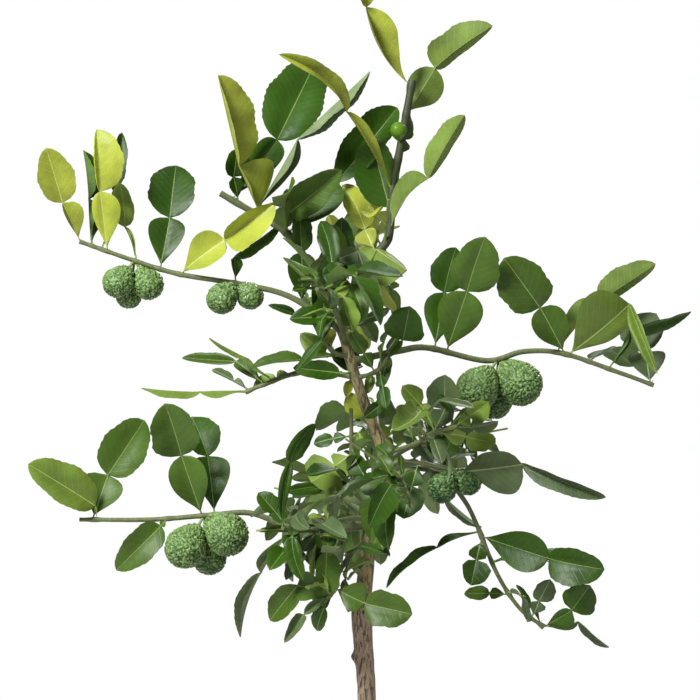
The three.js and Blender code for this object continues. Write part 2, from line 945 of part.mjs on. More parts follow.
function growTwigs(limb, owner) {
  const others = othersThan(owner);
  const from = limb.bareStop + TWIG_START / limb.length;
  for (let order = 0; order < limb.twigs; order += 1) {
    const stop = from + ((1 - from) * (order + 0.5)) / (limb.twigs + 0.5);
    const along = directionAt(limb.curve, stop);
    const around = (order * 180 + limb.random.span(TWIG_AROUND)) * DEGREE;
    const way = radialAt(along, around)
      .multiplyScalar(TWIG_OUTWARD)
      .addScaledVector(along, TWIG_ALONG)
      .addScaledVector(UP, limb.random.span(TWIG_UPWARD))
      .normalize();
    const start = limb.curve.getPoint(stop);
    const end = start.clone().addScaledVector(way, limb.random.span(TWIG_LENGTH));
    const twig = piece(twigSolid(start, end, TWIG_RADIUS, TWIG_TIP_RADIUS), owner, "stem");
    const clear = staysIn(limb.space, twig) && !touches(twig, others);
    if (clear) grown.push(twig);
    growFree(limb, owner, new THREE.LineCurve3(start, end), TWIG_BARE, clear ? TWIG_LEAVES : 0);
  }
  growFree(limb, owner, limb.curve, from, limb.free);
}

// Pot and soil
function potSolid() {
  const { height, baseRadius, baseRound, underRimRadius, rimRadius, rimHeight, lipRadius } = POT;
  const { ledge, ledgeWidth, ledgeRise, wall, floor } = POT;
  const rimFoot = height - rimHeight;
  const profile = [
    [0, 0],
    [baseRadius - baseRound, 0],
    [baseRadius, baseRound],
    [underRimRadius, rimFoot],
    [rimRadius - lipRadius, rimFoot + lipRadius],
    [rimRadius, height - lipRadius],
    [rimRadius - lipRadius, height],
    [rimRadius - wall - lipRadius, height],
    [insideRadius(rimFoot + ledge) + ledgeWidth, rimFoot + ledge + ledgeRise],
    [insideRadius(floor), floor],
    [0, floor],
  ].map(([radius, z]) => new THREE.Vector2(radius, z));
  const shell = solidFromGeometry(
    new THREE.LatheGeometry(profile, POT.sides).rotateX(Math.PI / 2),
  );
  const drains = Array.from({ length: POT.drains }, (_, i) => {
    const angle = (2 * Math.PI * (i + 0.5)) / POT.drains;
    const hole = new THREE.CylinderGeometry(POT.drainRadius, POT.drainRadius, 3 * floor, 12);
    hole.rotateX(Math.PI / 2);
    hole.translate(POT.drainOffset * Math.cos(angle), POT.drainOffset * Math.sin(angle), floor / 2);
    return solidFromGeometry(hole);
  });
  return shell.subtract(unite(drains));
}

function insideRadius(z) {
  const { baseRadius, underRimRadius, rimHeight, height, wall } = POT;
  return baseRadius + ((underRimRadius - baseRadius) * z) / (height - rimHeight) - wall;
}

function soilSolid() {
  const foot = POT.floor + SEAT;
  const shoulder = POT.height - POT.rimHeight + POT.ledge;
  const profile = [
    [0, foot],
    [insideRadius(foot) - SEAT, foot],
    [insideRadius(shoulder) - SEAT, shoulder],
    [insideRadius(shoulder) + POT.ledgeWidth - SEAT, SOIL_TOP],
    [0, SOIL_TOP],
  ].map(([radius, z]) => new THREE.Vector2(radius, z));
  return solidFromGeometry(new THREE.LatheGeometry(profile, POT.sides).rotateX(Math.PI / 2));
}

function meshOf(name, solid, colour, roughness) {
  const { vertProperties, triVerts } = solid.getMesh();
  const geometry = new THREE.BufferGeometry();
  geometry.setAttribute("position", new THREE.BufferAttribute(new Float32Array(vertProperties), 3));
  geometry.setIndex(new THREE.BufferAttribute(new Uint32Array(triVerts), 1));
  geometry.computeVertexNormals();
  const material = new THREE.MeshStandardMaterial({ color: colour, roughness, metalness: 0 });
  const mesh = new THREE.Mesh(geometry, material);
  mesh.name = name;
  return mesh;
}

const tree = new THREE.Group();
tree.add(meshOf("pot", potSolid(), COLOURS.terracotta, 0.85));
tree.add(meshOf("soil", soilSolid(), COLOURS.soil, 0.95));

const trunk = trunkSolid(0);
const grownTrunk = trunkSolid(SEAT);
tree.add(meshOf("trunk", trunk, COLOURS.bark, 0.8));

// Boughs first: each starts inside the trunk and is cut clear of it and of the boughs before it
const limbs = LIMBS.map(limbOf);
const woodSolids = [trunk];
const grownBoughs = [];
limbs.filter((limb) => limb.bare).forEach((limb) => {
  const whole = limbPiece(limb, 0, limb.bareStop);
  const bough = largestBody(whole.subtract(unite([grownTrunk, ...grownBoughs])));
  grownBoughs.push(limbPiece(limb, 0, limb.bareStop, SEAT));
  woodSolids.push(bough);
  limb.bough = bough;
  tree.add(meshOf("bough_" + limb.name, bough, COLOURS.greenBark, 0.7));
});

// Pieces of every mass, each marked with its owner, and the wood that none may touch
const grown = woodSolids.map((solid) => piece(solid, "wood", "stem"));
limbs.forEach((limb) => {
  limb.random = new Seed(limb.seed);
  startMass(limb, limb.name);
});
limbs.forEach((limb) => growFacing(limb, limb.name));
limbs.forEach((limb) => growTwigs(limb, limb.name));
limbs.forEach((limb, index) => {
  const own = grown.filter((other) => other.owner === limb.name).map((other) => other.solid);
  const mass = largestBody(unite(own)).simplify(FUSE_TOLERANCE);
  const colour = index % 2 ? COLOURS.leaf : COLOURS.leafDark;
  tree.add(meshOf("mass_" + limb.name, mass, colour, 0.5));
});

export default tree;
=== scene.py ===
"""A young makrut lime tree in a plain terracotta pot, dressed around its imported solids.

The wood, the double leaves and the fruit grow on the limbs by one seeded rule. Sizes in the tables
are millimetres, and every mesh is made in metres in the frame of the solids.
"""

import math
from types import SimpleNamespace

import bmesh
import bpy
import numpy as np
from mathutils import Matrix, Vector, noise
from mathutils.bvhtree import BVHTree


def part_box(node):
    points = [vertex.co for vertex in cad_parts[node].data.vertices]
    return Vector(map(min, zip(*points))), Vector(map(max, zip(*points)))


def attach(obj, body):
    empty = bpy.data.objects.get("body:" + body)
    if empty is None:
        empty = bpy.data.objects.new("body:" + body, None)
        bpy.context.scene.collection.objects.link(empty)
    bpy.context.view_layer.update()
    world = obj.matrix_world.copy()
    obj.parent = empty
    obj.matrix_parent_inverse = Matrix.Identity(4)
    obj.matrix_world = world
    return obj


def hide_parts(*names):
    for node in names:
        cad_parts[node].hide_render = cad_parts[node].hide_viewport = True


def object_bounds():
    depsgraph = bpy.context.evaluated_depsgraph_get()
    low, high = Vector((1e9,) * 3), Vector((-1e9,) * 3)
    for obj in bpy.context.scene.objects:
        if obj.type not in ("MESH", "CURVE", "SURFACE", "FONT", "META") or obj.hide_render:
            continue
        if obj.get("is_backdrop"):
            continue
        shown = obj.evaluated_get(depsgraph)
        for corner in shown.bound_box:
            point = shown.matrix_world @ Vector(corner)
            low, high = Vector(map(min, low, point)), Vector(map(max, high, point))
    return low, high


bl_info = {
    "name": "Potted Makrut Lime", "version": (1, 0, 0), "blender": (4, 5, 0),
    "location": "3D View > Sidebar > Lime Tree",
    "description": "Grows a young makrut lime tree in a terracotta pot around its solids",
    "category": "Object",
}

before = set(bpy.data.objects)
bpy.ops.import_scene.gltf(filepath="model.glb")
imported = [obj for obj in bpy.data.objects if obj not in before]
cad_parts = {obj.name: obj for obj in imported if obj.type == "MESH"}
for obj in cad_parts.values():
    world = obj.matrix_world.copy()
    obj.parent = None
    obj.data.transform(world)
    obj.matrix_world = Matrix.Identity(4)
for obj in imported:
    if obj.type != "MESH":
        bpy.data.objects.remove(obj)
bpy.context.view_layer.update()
BODY = "root"
MASSES = sorted(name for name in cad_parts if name.startswith("mass_"))
BOUGHS = sorted(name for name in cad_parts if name.startswith("bough_"))

MM = 0.001
UP = np.array([0.0, 0.0, 1.0])
TO_VIEWER = np.array([0.0, -1.0, 0.0])

# The stage in metres: lamps as (name, place, size, power), what they aim at, and the camera's place
# beside the trunk
LAMPS = [
    ("key_light", (-1.6, -2.1, 2.7), 0.9, 188), ("fill_light", (2.2, -2.2, 1.2), 1.4, 8),
    ("back_light", (0.9, 1.8, 2.5), 1.0, 60),
]
AIM = (0, 0, 0.7)
EYE_ASIDE = -0.0165
FLOOR_SIDES = 96

# The trunk: bends as [x, y, height above the soil], girth as [height above the soil, radius]
SOIL_TOP = 235
SEAT = 0.3
TRUNK_FOOT = SOIL_TOP + SEAT
TRUNK_BENDS = [
    [0, 0, 0], [2, 2, 120], [-3, -2, 205], [1, 0, 262], [5, 2, 300], [23, 4, 356], [19, 3, 395],
    [5, 0, 432], [-12, -1, 480], [-27.5, -3, 536],
]
TRUNK_GIRTH = [
    [0, 16], [14, 12.4], [45, 10.6], [150, 9.9], [190, 10.6], [215, 12.3], [240, 9.2], [300, 8.2],
    [356, 7.4], [430, 6.5], [536, 5.8],
]
GRAFT_HEIGHT = 215

# The solids' leaves and twigs, by the same named sizes
WING_SHARE = (0.4, 0.5)
FACING_TOWARD = (8, 30)
LEANS = (1, -1, 0.4, -0.4, 1.5, -1.5)
FREE_LENGTH = (62, 116)
FREE_BREADTH = (0.75, 1.1)
FREE_TURN = (-16, 16)
FREE_DROOP = (-8, 30)
FREE_TILT = (-35, 35)
FREE_OUTWARD = 0.85
FREE_ALONG = (0.25, 0.7)
FREE_UPWARD = (0.05, 0.55)
LIGHT_FROM_ABOVE = 0.7
LIGHT_FROM_OUTSIDE = -0.45
FACING_DROOP = (-4, 15)
GOLDEN_ANGLE = 137.5
SPIRAL_SPREAD = (0, 40)
PLACE_SPREAD = 0.6
TWIG_LENGTH = (60, 110)
TWIG_LEAVES = 7
TWIG_RADII = (1.7, 1.1)
TWIG_START = 8
TWIG_BARE = 0.3
TWIG_AROUND = (60, 120)
TWIG_OUTWARD = 0.8
TWIG_ALONG = 0.5
TWIG_UPWARD = (0.1, 0.4)
WING_HALF_WIDTH = 0.165
WING_WIDEST = 0.7
BLADE_HALF_WIDTH = 0.175
BLADE_WIDEST = 0.36
BLADE_FAR_HALF_WIDTH = 0.155
BLADE_FAR = 0.74
HALVINGS = 40
PLACE_STEPS = 400
LENGTH_STEPS = 200
TANGENT_STEP = 0.01
UPRIGHT = 0.9


def look(blade=(1, 1), wing=(1, 1), bow=0, bend=0, lean=None, heading=0, turn=0, longer=1, shorter=1):
    """How a leaf looks from the front: shares of the blade's and the wing's half widths, as (left,
    right), then bends and turns."""
    return SimpleNamespace(**locals())


# Each limb leaves the trunk at `height` above the soil towards `azimuth` (0 right, 90 away, 180 left,
# -90 to the viewer). `bends` are [out, up] from there, and the bough ends `bare` along its run. With
# `steep` a place on it is told by its rise. `facing` leaves are [place, heading, length, turn at the
# waist, roll, breadth, wing's share], and `looks` says by number how they differ from that. `fruit` is
# [place, aside, down, forward, diameter, shade], where shade is a painted shade: a fruit that hangs
# behind others or deep in the crown is painted darker. Up to `free` leaves and `twigs` grow by rule,
# without the leaves whose number is in `omit`, and a `spurred` limb has short shoots as well. `tints`
# name the colour of each facing leaf: y young, b bright, m middle, d dark, g grey green (partly a
# painted sheen), and a capital for one that shows its underside. The others draw from `mix`. `finer`
# leaves are [x, height, forward, heading, length, turn, roll, breadth, wing's share, tint, look].
# A limb's `shade` is the share of its shoot's dark bark.
LIMBS = [
    dict(
        name="leader", spurred=False, height=534, azimuth=0,
        bends=[[13, 35], [38, 74], [53, 96], [57, 144], [69, 211], [79, 267]], radii=[5.2, 4.2], bare=26,
        steep=True, seed=11,
        facing=[
            [261, 118, 168, -24, 15, 0.85, 0.56], [229, 60, 127, -14, 0, 0.95, 0.46],
            [93, 56, 154, 8, 20, 0.8, 0.5], [145, 121, 184, 13, 40, 0.7, 0.52],
            [119, 88, 90, 5, 0, 1.3, 0.1], [76, 115, 86, -10, 0, 1.15, 0.36],
            [44, 60, 80, -60, 10, 1.1, 0.5], [180, 72, 60, 10, 55, 0.8],
        ],
        fruit=[[191, -2, -20, 8, 19]], tints="yBBydyBm",
        looks={
            0: look((0.35, 0.45), (0.15, 0.95), bow=-0.05, bend=-0.1, heading=3, longer=1.04),
            1: look((0.95, 0.3), (0.8, 0.95), bow=0.14, heading=-1, longer=1.07),
            2: look((0.5, 0.5), (0.6, 0.25), bow=0.06, bend=-0.08),
            3: look((0.35, 0.35), (0.3, 0.3), bow=-0.5, turn=-24, lean=28),
            4: look((1.3, 0.9), heading=12, lean=-15), 5: look((0.6, 1), (1.2, 0.9), bow=-0.2),
            6: look((0.25, 1.9), (0.9, 0.9), turn=-35, longer=1.05, lean=10),
        },
        shade=0.75, mix="bmyd", free=12, omit=[3, 6], twigs=1,
    ),
    dict(
        name="upper_left", spurred=False, height=534, azimuth=180,
        bends=[[8, 15], [45, 82], [65, 104], [94, 121], [132, 143]], radii=[4.4, 3.6], bare=30, seed=12,
        facing=[
            [119, 54, 175, 11, 0, 1.05, 0.44], [86, 117, 157, -11, 35, 0.9, 0.37],
            [72, 37, 92, 0, 15, 1.1, 0.12], [94, 55, 178, -17, 60, 0.65, 0.47],
            [58, 47, 172, 8, 10, 0.85, 0.42], [60, 96, 48, -8, 20, 1, 0.1], [112, 100, 60, -20, 30, 0.9],
        ],
        tints="dymgdgd",
        looks={
            0: look((0.95, 0.75), (0.45, 0.5), longer=1.08, lean=-18),
            1: look((0.1, 1.15), (0.15, 1.6), heading=-3, lean=20), 2: look((1.1, 0.8)),
            3: look((0.35, 0.3), (0.35, 0.35), bow=0.1, heading=4, longer=1.1, lean=14),
            4: look((0.85, 0.55), (0.8, 0.7), turn=-5, longer=1.1, lean=-8), 6: look((1.2, 1.6)),
        },
        finer=[
            [-35, 809, -12, 82, 77, 0, 10, 1.2, 0.12, "d", look()],
            [-34, 837, 32, 22, 100, -92, 0, 0.8, 0.28, "g", look((0.6, 0.6), (0.6, 1))],
            [-37, 782, 4, 106, 53, 0, 0, 0.6, 0.1, "B", look()],
        ],
        shade=0.35, mix="dmmd", free=8,
    ),
    dict(
        name="left_top", spurred=False, height=526, azimuth=180,
        bends=[[57, 37], [112, 51], [179, 62], [229, 77], [289, 98]], radii=[3.6, 2.2], bare=74, seed=13,
        facing=[
            [288, 113, 107, -8, 0, 1.05, 0.43], [274, 95, 106, -3, 66, 0.9, 0.5],
            [258, 96, 130, -3, 0, 0.8, 0.5], [264, 80, 132, 4, 45, 0.7, 0.5],
            [226, 109, 90, -15, 45, 0.95, 0.45], [200, 81, 122, 5, 0, 1.1, 0.48],
            [178, 37, 125, 0, -15, 0.98, 0.48], [117, 95, 95, -60, 30, 0.8, 0.3],
        ],
        fruit=[
            [228, -18, 24, 6, 33], [228, 15, 26, -2, 33], [228, -8, 38, -20, 28], [117, -15, 17, 4, 33],
            [117, 16, 14, -4, 29],
        ],
        tints="ydydbdyd",
        looks={
            0: look((0.9, 1), (0.15, 0.9)), 1: look((0.3, 0.9), (0.3, 1), lean=-10),
            2: look((0.2, 1.5), (0.6, 1.2), lean=12), 3: look((0.8, 0.3), (0.6, 0.4), lean=-16),
            4: look((1, 0.85), (0.2, 0.2), lean=-10), 5: look(wing=(0.85, 0.85)),
            6: look((0.2, 1.3), (0.85, 0.95)), 7: look((0.4, 0.6), (0.6, 0.7)),
        },
        finer=[[-69.7, 794, 0, 90, 97, 2, 8, 1, 0.55, "d", look((0.6, 0.7))]], mix="ymdb", free=3,
        omit=[0, 1, 2],
    ),
    dict(
        name="left_middle", spurred=False, height=476, azimuth=180,
        bends=[[58, 4], [102, -10], [121, -18]], radii=[3, 2], bare=48, seed=14,
        facing=[
            [120, 180, 113, 0, 60, 0.5], [100, 152, 88, 24, 20, 0.7], [90, 140, 84, 15, 60, 0.5],
            [116, 150, 48, 0, 40, 1], [66, 196, 50, 0, 60, 0.9],
        ],
        tints="BmBgb",
        looks={
            0: look((0.6, 0.5), (0.7, 0.5)),
            1: look((0.55, 0.5), (0.7, 0.8), heading=-10, turn=11, longer=1.15),
            2: look((0.5, 0.6), (0.5, 0.4)), 3: look((0.6, 0.5), (0.6, 0.6)),
        },
        mix="ygmb", free=8,
    ),
    dict(
        name="left_lower", spurred=False, height=312, azimuth=180,
        bends=[[56, -6], [90, -3], [134, 13], [178, 11], [244, 6], [323, 6]], radii=[4, 2.3], bare=150,
        seed=15,
        facing=[
            [303, 95, 98, 50, 15, 1.15, 0.16], [308, 72, 124, -15, 0, 1.1, 0.42],
            [187, 108, 131, -5, 0, 1.08, 0.53], [174, 98, 115, 12, 15, 1.05, 0.56],
            [225, 225, 75, 0, 0, 1.25, 0.14],
        ],
        fruit=[[185, -21, 35, 8, 44], [185, 25, 21, 2, 46], [185, 4, 48, -22, 37, 0.15]], tints="bmmdm",
        looks={
            0: look((0.85, 1.1), (0.3, 0.3)), 2: look((1.05, 0.85), (0.9, 0.8), bow=-0.05),
            3: look((0.9, 0.85), (1, 1)),
        },
        mix="mdbd", free=3, omit=[1, 2],
    ),
    dict(
        name="right_top", spurred=False, height=492, azimuth=0,
        bends=[[54, 12], [86, 15], [149, 1], [190, 11], [233, 9], [292, -11], [333, -26]],
        radii=[3.9, 2.3], bare=78, seed=16,
        facing=[
            [104, 72, 130, 4, 0, 1.08, 0.53], [92, 80, 115, 0, 0, 1, 0.55],
            [235, 119, 121, 8, 0, 1.15, 0.47], [226, 50, 150, -17, 20, 0.8, 0.49],
            [238, 40, 163, -111, 25, 0.75, 0.46], [283, 62, 124, -47, 40, 0.85, 0.38],
            [329, 95, 82, 5, 0, 1.4, 0.45], [170, -50, 62, 0, 30, 0.9],
        ],
        fruit=[[162, -24, 33, 8, 45], [162, 24, 27, 2, 47], [162, -3, 47, -22, 37, 0.15]],
        tints="mdmBbdgg",
        looks={
            0: look((0.85, 1.05), (0.95, 1), bow=0.05), 1: look((0.95, 0.9), bow=0.08),
            2: look((1, 1.08), (0.75, 0.9)), 3: look((0.8, 0.6), (0.8, 0.3)),
            4: look((0.3, 0.3), (1.9, 0.8), longer=1.1, shorter=0.85),
            5: look((0.55, 0.55), (0.15, 0.15), bow=0.04), 6: look((0.9, 1)),
        },
        finer=[
            [23, 737, 6, 56, 30, 0, 0, 0.8, 0.1, "g", look()],
            [26, 738, 6, 257, 41, 0, 0, 1, 0.1, "m", look()],
        ],
        shade=0.15, mix="mdgd", free=3,
    ),
    dict(
        name="right_middle", spurred=False, height=374, azimuth=-12, bends=[[14, 8], [40, 6], [86, -4]],
        radii=[2.8, 2], bare=30, seed=17,
        facing=[
            [80, 8, 134, -30, 35, 0.7], [72, 120, 44, 0, 0, 1.2], [36, 262, 62, 0, 10, 1.2],
            [44, -60, 100, 15, 60, 0.6], [60, 70, 70, -10, 20, 0.9],
        ],
        fruit=[[76, -14, 19, 6, 32, 0.4], [76, 15, 12, -2, 29, 0.35]], tints="gddgm",
        looks={
            0: look((0.5, 0.4), (1.5, 1.6), bow=0.1, turn=-2, longer=1.14),
            2: look((1.3, 1.7), (1.1, 1.1), heading=-8), 3: look((0.4, 0.4), (0.4, 0.4)),
        },
        mix="dgmg", free=8, omit=[6],
    ),
    dict(
        name="right_lower", spurred=False, height=350, azimuth=5,
        bends=[[12, 16], [39, 24], [67, 13], [88, -11], [102, -38], [125, -93], [150, -131], [177, -152]],
        radii=[3.3, 2], bare=86, seed=18,
        facing=[
            [107, -17, 128, 4, 10, 1.1, 0.58], [105, 196, 122, 10, 55, 0.6], [108, 255, 52, 0, 20, 1.2],
            [138, 180, 52, 0, 20, 0.7], [162, 65, 42, 0, 20, 1], [174, 120, 52, 0, 30, 0.9],
            [176, 33, 70, 24, 0, 1.2], [175, -23, 62, 0, 40, 0.9],
        ],
        tints="dddmgddg",
        looks={
            0: look((0.6, 0.8), (0.85, 0.8)),
            1: look((0.55, 0.65), (0.5, 0.5), bow=-0.1, heading=6, turn=-6),
            2: look((1.6, 1), (1.2, 0.9)), 4: look((1.3, 1.3), (1.2, 1.2), longer=1.15),
            5: look((0.4, 0.3), (0.5, 0.4)), 6: look((1.1, 1.15), (0.5, 1)),
            7: look((0.4, 0.3), (0.35, 0.35), heading=28, turn=-50, longer=1.45),
        },
        mix="dmgd", free=5,
    ),
    dict(
        name="right_centre", height=390, azimuth=-45, bends=[[50, 13], [73, 24], [112, 33]],
        radii=[2.6, 1.9], bare=34, seed=19,
        facing=[
            [76, 65, 66, 25, 0, 1.5, 0.42], [78, 118, 62, 15, 20, 0.95, 0.55], [106, 36, 46, 0, 0, 1.4],
            [82, -10, 66, -5, 20, 1], [100, 5, 50, 0, 60, 0.8], [50, 120, 40, 0, 0, 1.2],
        ],
        tints="gbbbgd", mix="dgmdb", free=14, twigs=1,
    ),
    dict(
        name="left_cluster", height=318, azimuth=-140, bends=[[40, 2], [85, -8], [130, -4]],
        radii=[3.2, 2.2], bare=38, seed=20,
        facing=[
            [129, 83, 119, -30, 20, 0.8, 0.6], [122, 130, 50, 0, 30, 1.1], [103, 229, 52, 0, 20, 1.1],
            [115, 234, 137, 5, 40, 0.65], [80, 234, 58, 0, 20, 1], [52, 240, 62, 0, 20, 1],
            [64, 190, 80, -12, 20, 0.9],
        ],
        tints="dddggdm",
        looks={
            0: look((0.6, 0.75), (0.5, 0.35), bow=0.7, bend=-0.08, turn=33, shorter=0.82),
            1: look((1.1, 1)), 3: look((0.35, 0.35), (0.35, 0.35), bow=-0.15),
            4: look((0.6, 0.7), (0.7, 0.7)), 6: look((0.3, 0.3), (0.3, 0.3)),
        },
        mix="dggmd", free=18, omit=[17], twigs=1,
    ),
    dict(
        name="front_low", height=292, azimuth=-118, bends=[[30, -4], [60, -22], [88, -52]],
        radii=[2.8, 1.9], bare=26, seed=21,
        facing=[
            [80, -26, 84, 15, 0, 1.2], [84, 171, 88, 60, 10, 1.1], [86, 215, 78, 27, 20, 0.9],
            [82, 275, 50, 0, 30, 1.1], [56, 240, 62, 0, 30, 1],
        ],
        tints="mmgdd",
        looks={
            0: look((0.95, 1), (1.15, 0.8), longer=1.05), 1: look((0.9, 0.75)),
            2: look((0.45, 0.45), (0.4, 0.4), turn=-9, shorter=0.8),
            3: look((0.9, 0.9), (0.5, 0.5), heading=-29),
        },
        mix="dggm", free=12, omit=[4],
    ),
    dict(
        name="front_mid", height=366, azimuth=-82, bends=[[60, 6], [120, -4], [176, -26]], radii=[3, 2],
        bare=40, seed=22, mix="dmmgd", free=26, twigs=2,
    ),
    dict(
        name="front_high", height=510, azimuth=-100, bends=[[60, 34], [120, 55], [176, 58]],
        radii=[3, 2], bare=36, seed=43, facing=[[60, 284, 76, -10, 50, 0.9], [50, 120, 60, 10, 30, 1]],
        tints="dd",
        looks={0: look((0.8, 0.7), (0.5, 0.5), bow=0.15, heading=-42), 1: look((0.4, 0.5), (0.5, 0.5))},
        finer=[
            [-14, 761, 22, 100, 46, 0, 12, 1.8, 0.1, "m", look()],
            [-34, 775, 26, 172, 48, 10, 20, 1.5, 0.15, "d", look((1, 0.8))],
        ],
        mix="dmmdb", free=20, omit=[18], twigs=1,
    ),
    dict(
        name="back_low", height=300, azimuth=98, bends=[[80, 10], [170, 25], [250, 22]], radii=[3.4, 2],
        bare=70, seed=24, mix="dmgd", free=26, twigs=2,
    ),
    dict(
        name="back_left", height=326, azimuth=118, bends=[[70, 12], [140, 20], [200, 10]],
        radii=[3.2, 2], bare=60, seed=25, mix="ddmb", free=26, twigs=2,
    ),
    dict(
        name="back_right", height=382, azimuth=56, bends=[[60, 16], [120, 16], [176, 4]], radii=[3.2, 2],
        bare=56, seed=26, mix="mdgd", free=22, twigs=2,
    ),
    dict(
        name="back_middle", height=412, azimuth=90, bends=[[100, 16], [200, -6], [296, -46]],
        radii=[3.6, 2.2], bare=92, seed=27, mix="dmbd", free=26, twigs=2,
    ),
    dict(
        name="back_high", height=500, azimuth=96, bends=[[80, 50], [160, 90], [236, 108]],
        radii=[3.4, 2], bare=66, seed=28, mix="ymbd", free=26, twigs=2,
    ),
    dict(
        name="fork_twig_left", height=498, azimuth=-158, bends=[[18, 4], [34, 22], [46, 46]],
        radii=[2.4, 1.8], seed=29,
        facing=[
            [30, 91, 96, -15, 20, 0.95], [44, 78, 84, -6, 30, 0.8], [10, 174, 96, 0, 60, 0.8],
            [20, 110, 60, 0, 20, 1.1], [40, 150, 56, 10, 20, 1.1],
        ],
        tints="ddmyd",
        looks={2: look((0.8, 0.8), (0.8, 1), heading=14, turn=-10), 4: look((0.4, 0.4), (0.4, 0.4))},
        finer=[
            [-22, 714, 12, 173, 57, 0, 20, 1, 0.1, "d", look()],
            [-15, 709, -8, 255, 22, 0, 0, 1.2, 0.15, "y", look()],
            [-42, 732, 0, 135, 38, 0, 15, 1.6, 0.1, "b", look()],
        ],
        mix="dgym", free=5,
    ),
    dict(
        name="fork_twig_right", height=474, azimuth=-30, bends=[[18, 4], [30, 10], [40, 22]],
        radii=[2.4, 1.8], seed=30,
        facing=[
            [36, 51, 64, 28, 0, 1.5, 0.46], [26, -64, 118, 10, 40, 0.65], [24, 120, 50, 0, 20, 1],
            [30, -80, 44, 0, 30, 1],
        ],
        tints="dgmd", looks={0: look(wing=(0.3, 0.25)), 1: look((0.5, 0.5), (0.5, 0.5))},
        finer=[
            [8, 716, -8, 255, 25, 0, 0, 1.1, 0.15, "b", look()],
            [4, 667, -12, 140, 33, 0, 0, 2, 0.1, "y", look()],
            [-9, 740, -10, 100, 26, 0, 0, 1.3, 0.15, "b", look()],
            [-3, 722, -12, 155, 37, 0, 0, 1.8, 0.1, "d", look()],
            [19, 681, 16, 216, 25, 0, 0, 1.6, 0.1, "d", look()],
            [-10, 766, 0, 35, 42, -10, 0, 0.7, 0.3, "g", look()],
        ],
        mix="dgmb", free=5,
    ),
    dict(
        name="centre_twig", height=336, azimuth=-152, bends=[[30, 10], [36, 58], [37, 105]],
        radii=[2.6, 2], steep=True, seed=31,
        facing=[
            [55, 215, 50, 0, 10, 1.2], [74, 188, 42, 0, 30, 1], [58, -58, 42, 0, 40, 0.9],
            [62, -66, 60, 0, 20, 1], [24, 186, 74, 0, 30, 0.85], [20, -20, 54, -20, 10, 1.1],
        ],
        tints="Bdgddm",
        looks={
            0: look((1.9, 2), (1.8, 1.4), longer=1.1), 2: look((0.6, 0.5), (0.6, 0.6)),
            4: look((0.8, 0.5), (0.8, 0.5)),
        },
        mix="ydgm", free=6,
    ),
]

PLAIN_LIMB = dict(
    facing=[], fruit=[], tints="", looks={}, finer=[], omit=[], shade=0.0, bare=0, steep=False,
    spurred=True, twigs=0,
)
TINTS = {"y": "young", "b": "bright", "m": "middle", "d": "dark", "g": "grey"}
SURFACE_MAP = "surface"

# What counts as lying on a solid: how near a corner is, and how many corners of a leaf do
ON_SURFACE = 0.35
CORNERS_ENOUGH = 4

# Finer growth that the solids leave out
SPUR_LENGTH = (10, 26)
SPUR_RADII = (1.0, 0.7)
SPUR_GAP = 24
SPUR_LEAVES = 3
SPUR_LEAF = (20, 46)
SPUR_STALK = 2.2
CLEAR_OF_LEAVES = 1.6
HANG = (5, 75)
FREE_HALF = (0.4, 1.15)
FINER_STALK = 3
FINER_LEAN = 8
OPEN_TRUNK = (600, 775)
OPEN_ASIDE = 30
THORN_LENGTH = (4, 10)
THORN_EVERY = 0.45
BUD_SIZE = (1.6, 2.8)

# The visible mesh of a leaf
LEAF_THICK = 0.5
RIB_DEEP = 0.9
RIB_RAISED = 0.1
RIB_HALF = 0.7
STALK_SHOWS = 4
STALK_HALF = 0.95
WAIST_HALF = 1.25
TIP_HALF = 0.3
WING_PEAK = 0.68
BLADE_ROW = 3.6
WING_ROW = 5
SCALLOP = 0.018
COLUMNS = (1, 0.7, 0.36)
VEIN_GAP = 8.5
VEIN_SLOPE = 0.85
QUILT = 0.07
FOLD_LIFT = 0.65
BUMPY = 0.05
LEAF_SHARP = math.radians(75)
TOP_ROUGH = 0.36
GREY_ROUGH = 0.44
UNDER_ROUGH = 0.55

# The visible meshes of the wood: rings, swellings, knots as (height, azimuth, out, wide), the crown at
# the trunk's end as (inward, up), and the bark's relief as (how often around, run along)
TRUNK_ROW = 2.2
TRUNK_SIDES = 56
TRUNK_KNOTS = [(167, 180, 4.5, 5.5), (60, -60, 1.6, 6), (108, 20, 1.5, 5), (330, -100, 1.4, 4)]
TRUNK_CROWN = [(0.12, 0.9), (0.4, 2.2), (0.8, 3)]
FLARE_FOLDS = 0.09
BARK_LUMPS = (1.6, 70)
BARK_CRACKS = (6, 22)
BARK_GRAIN = (15, 8)
LIMB_ROW = 2
LIMB_SIDES = 18
TWIG_SIDES = 8
COLLAR = 0.45
COLLAR_RUN = 7
NODE_SWELL = 0.5
NODE_RUN = 4
RUN_APART = 0.37

# The visible mesh of a fruit, by the share of its radius. The rind's winding ridges have a seed
FRUIT_BODY = 0.93
FRUIT_NECK_RISE = 0.32
FRUIT_NECK_SLIM = 7
FRUIT_AROUND = 5.8
SMOOTH_AROUND = 48
RIND_SEED = 11
RIDGE = 0.13
SMOOTH_RIDGE = 0.3
YOUNG_RIND = 2.0
RIDGE_WIDE = 3.2
# A painted shade: how much darker the rind is painted on the fruit's underside
UNDERSIDE = 0.26
SMOOTH_UNDER = 12
FRUIT_STALK = (1.5, 1.8)
CALYX = (1.8, 4.6)

# Pot and soil
POT_HEIGHT = 262
POT_BASE = 98
POT_UNDER_RIM = 138
POT_RIM = 150
POT_RIM_HEIGHT = 46
POT_WALL = 10
POT_FLOOR = 14
POT_SIDES = 160
DRAIN_RADIUS = 7
DRAIN_OFFSET = 58
DRAINS = 4
DRAIN_SIDES = 28
POT_WOBBLE = 0.002
POT_SHARP = math.radians(50)
BED_GAP = 0.6
BED_SIDES = 128
BED_RINGS = 58
LUMP = 0.0022
LUMP_LIMITS = (-0.0025, 0.0032)
HEAP_RUN = 0.035

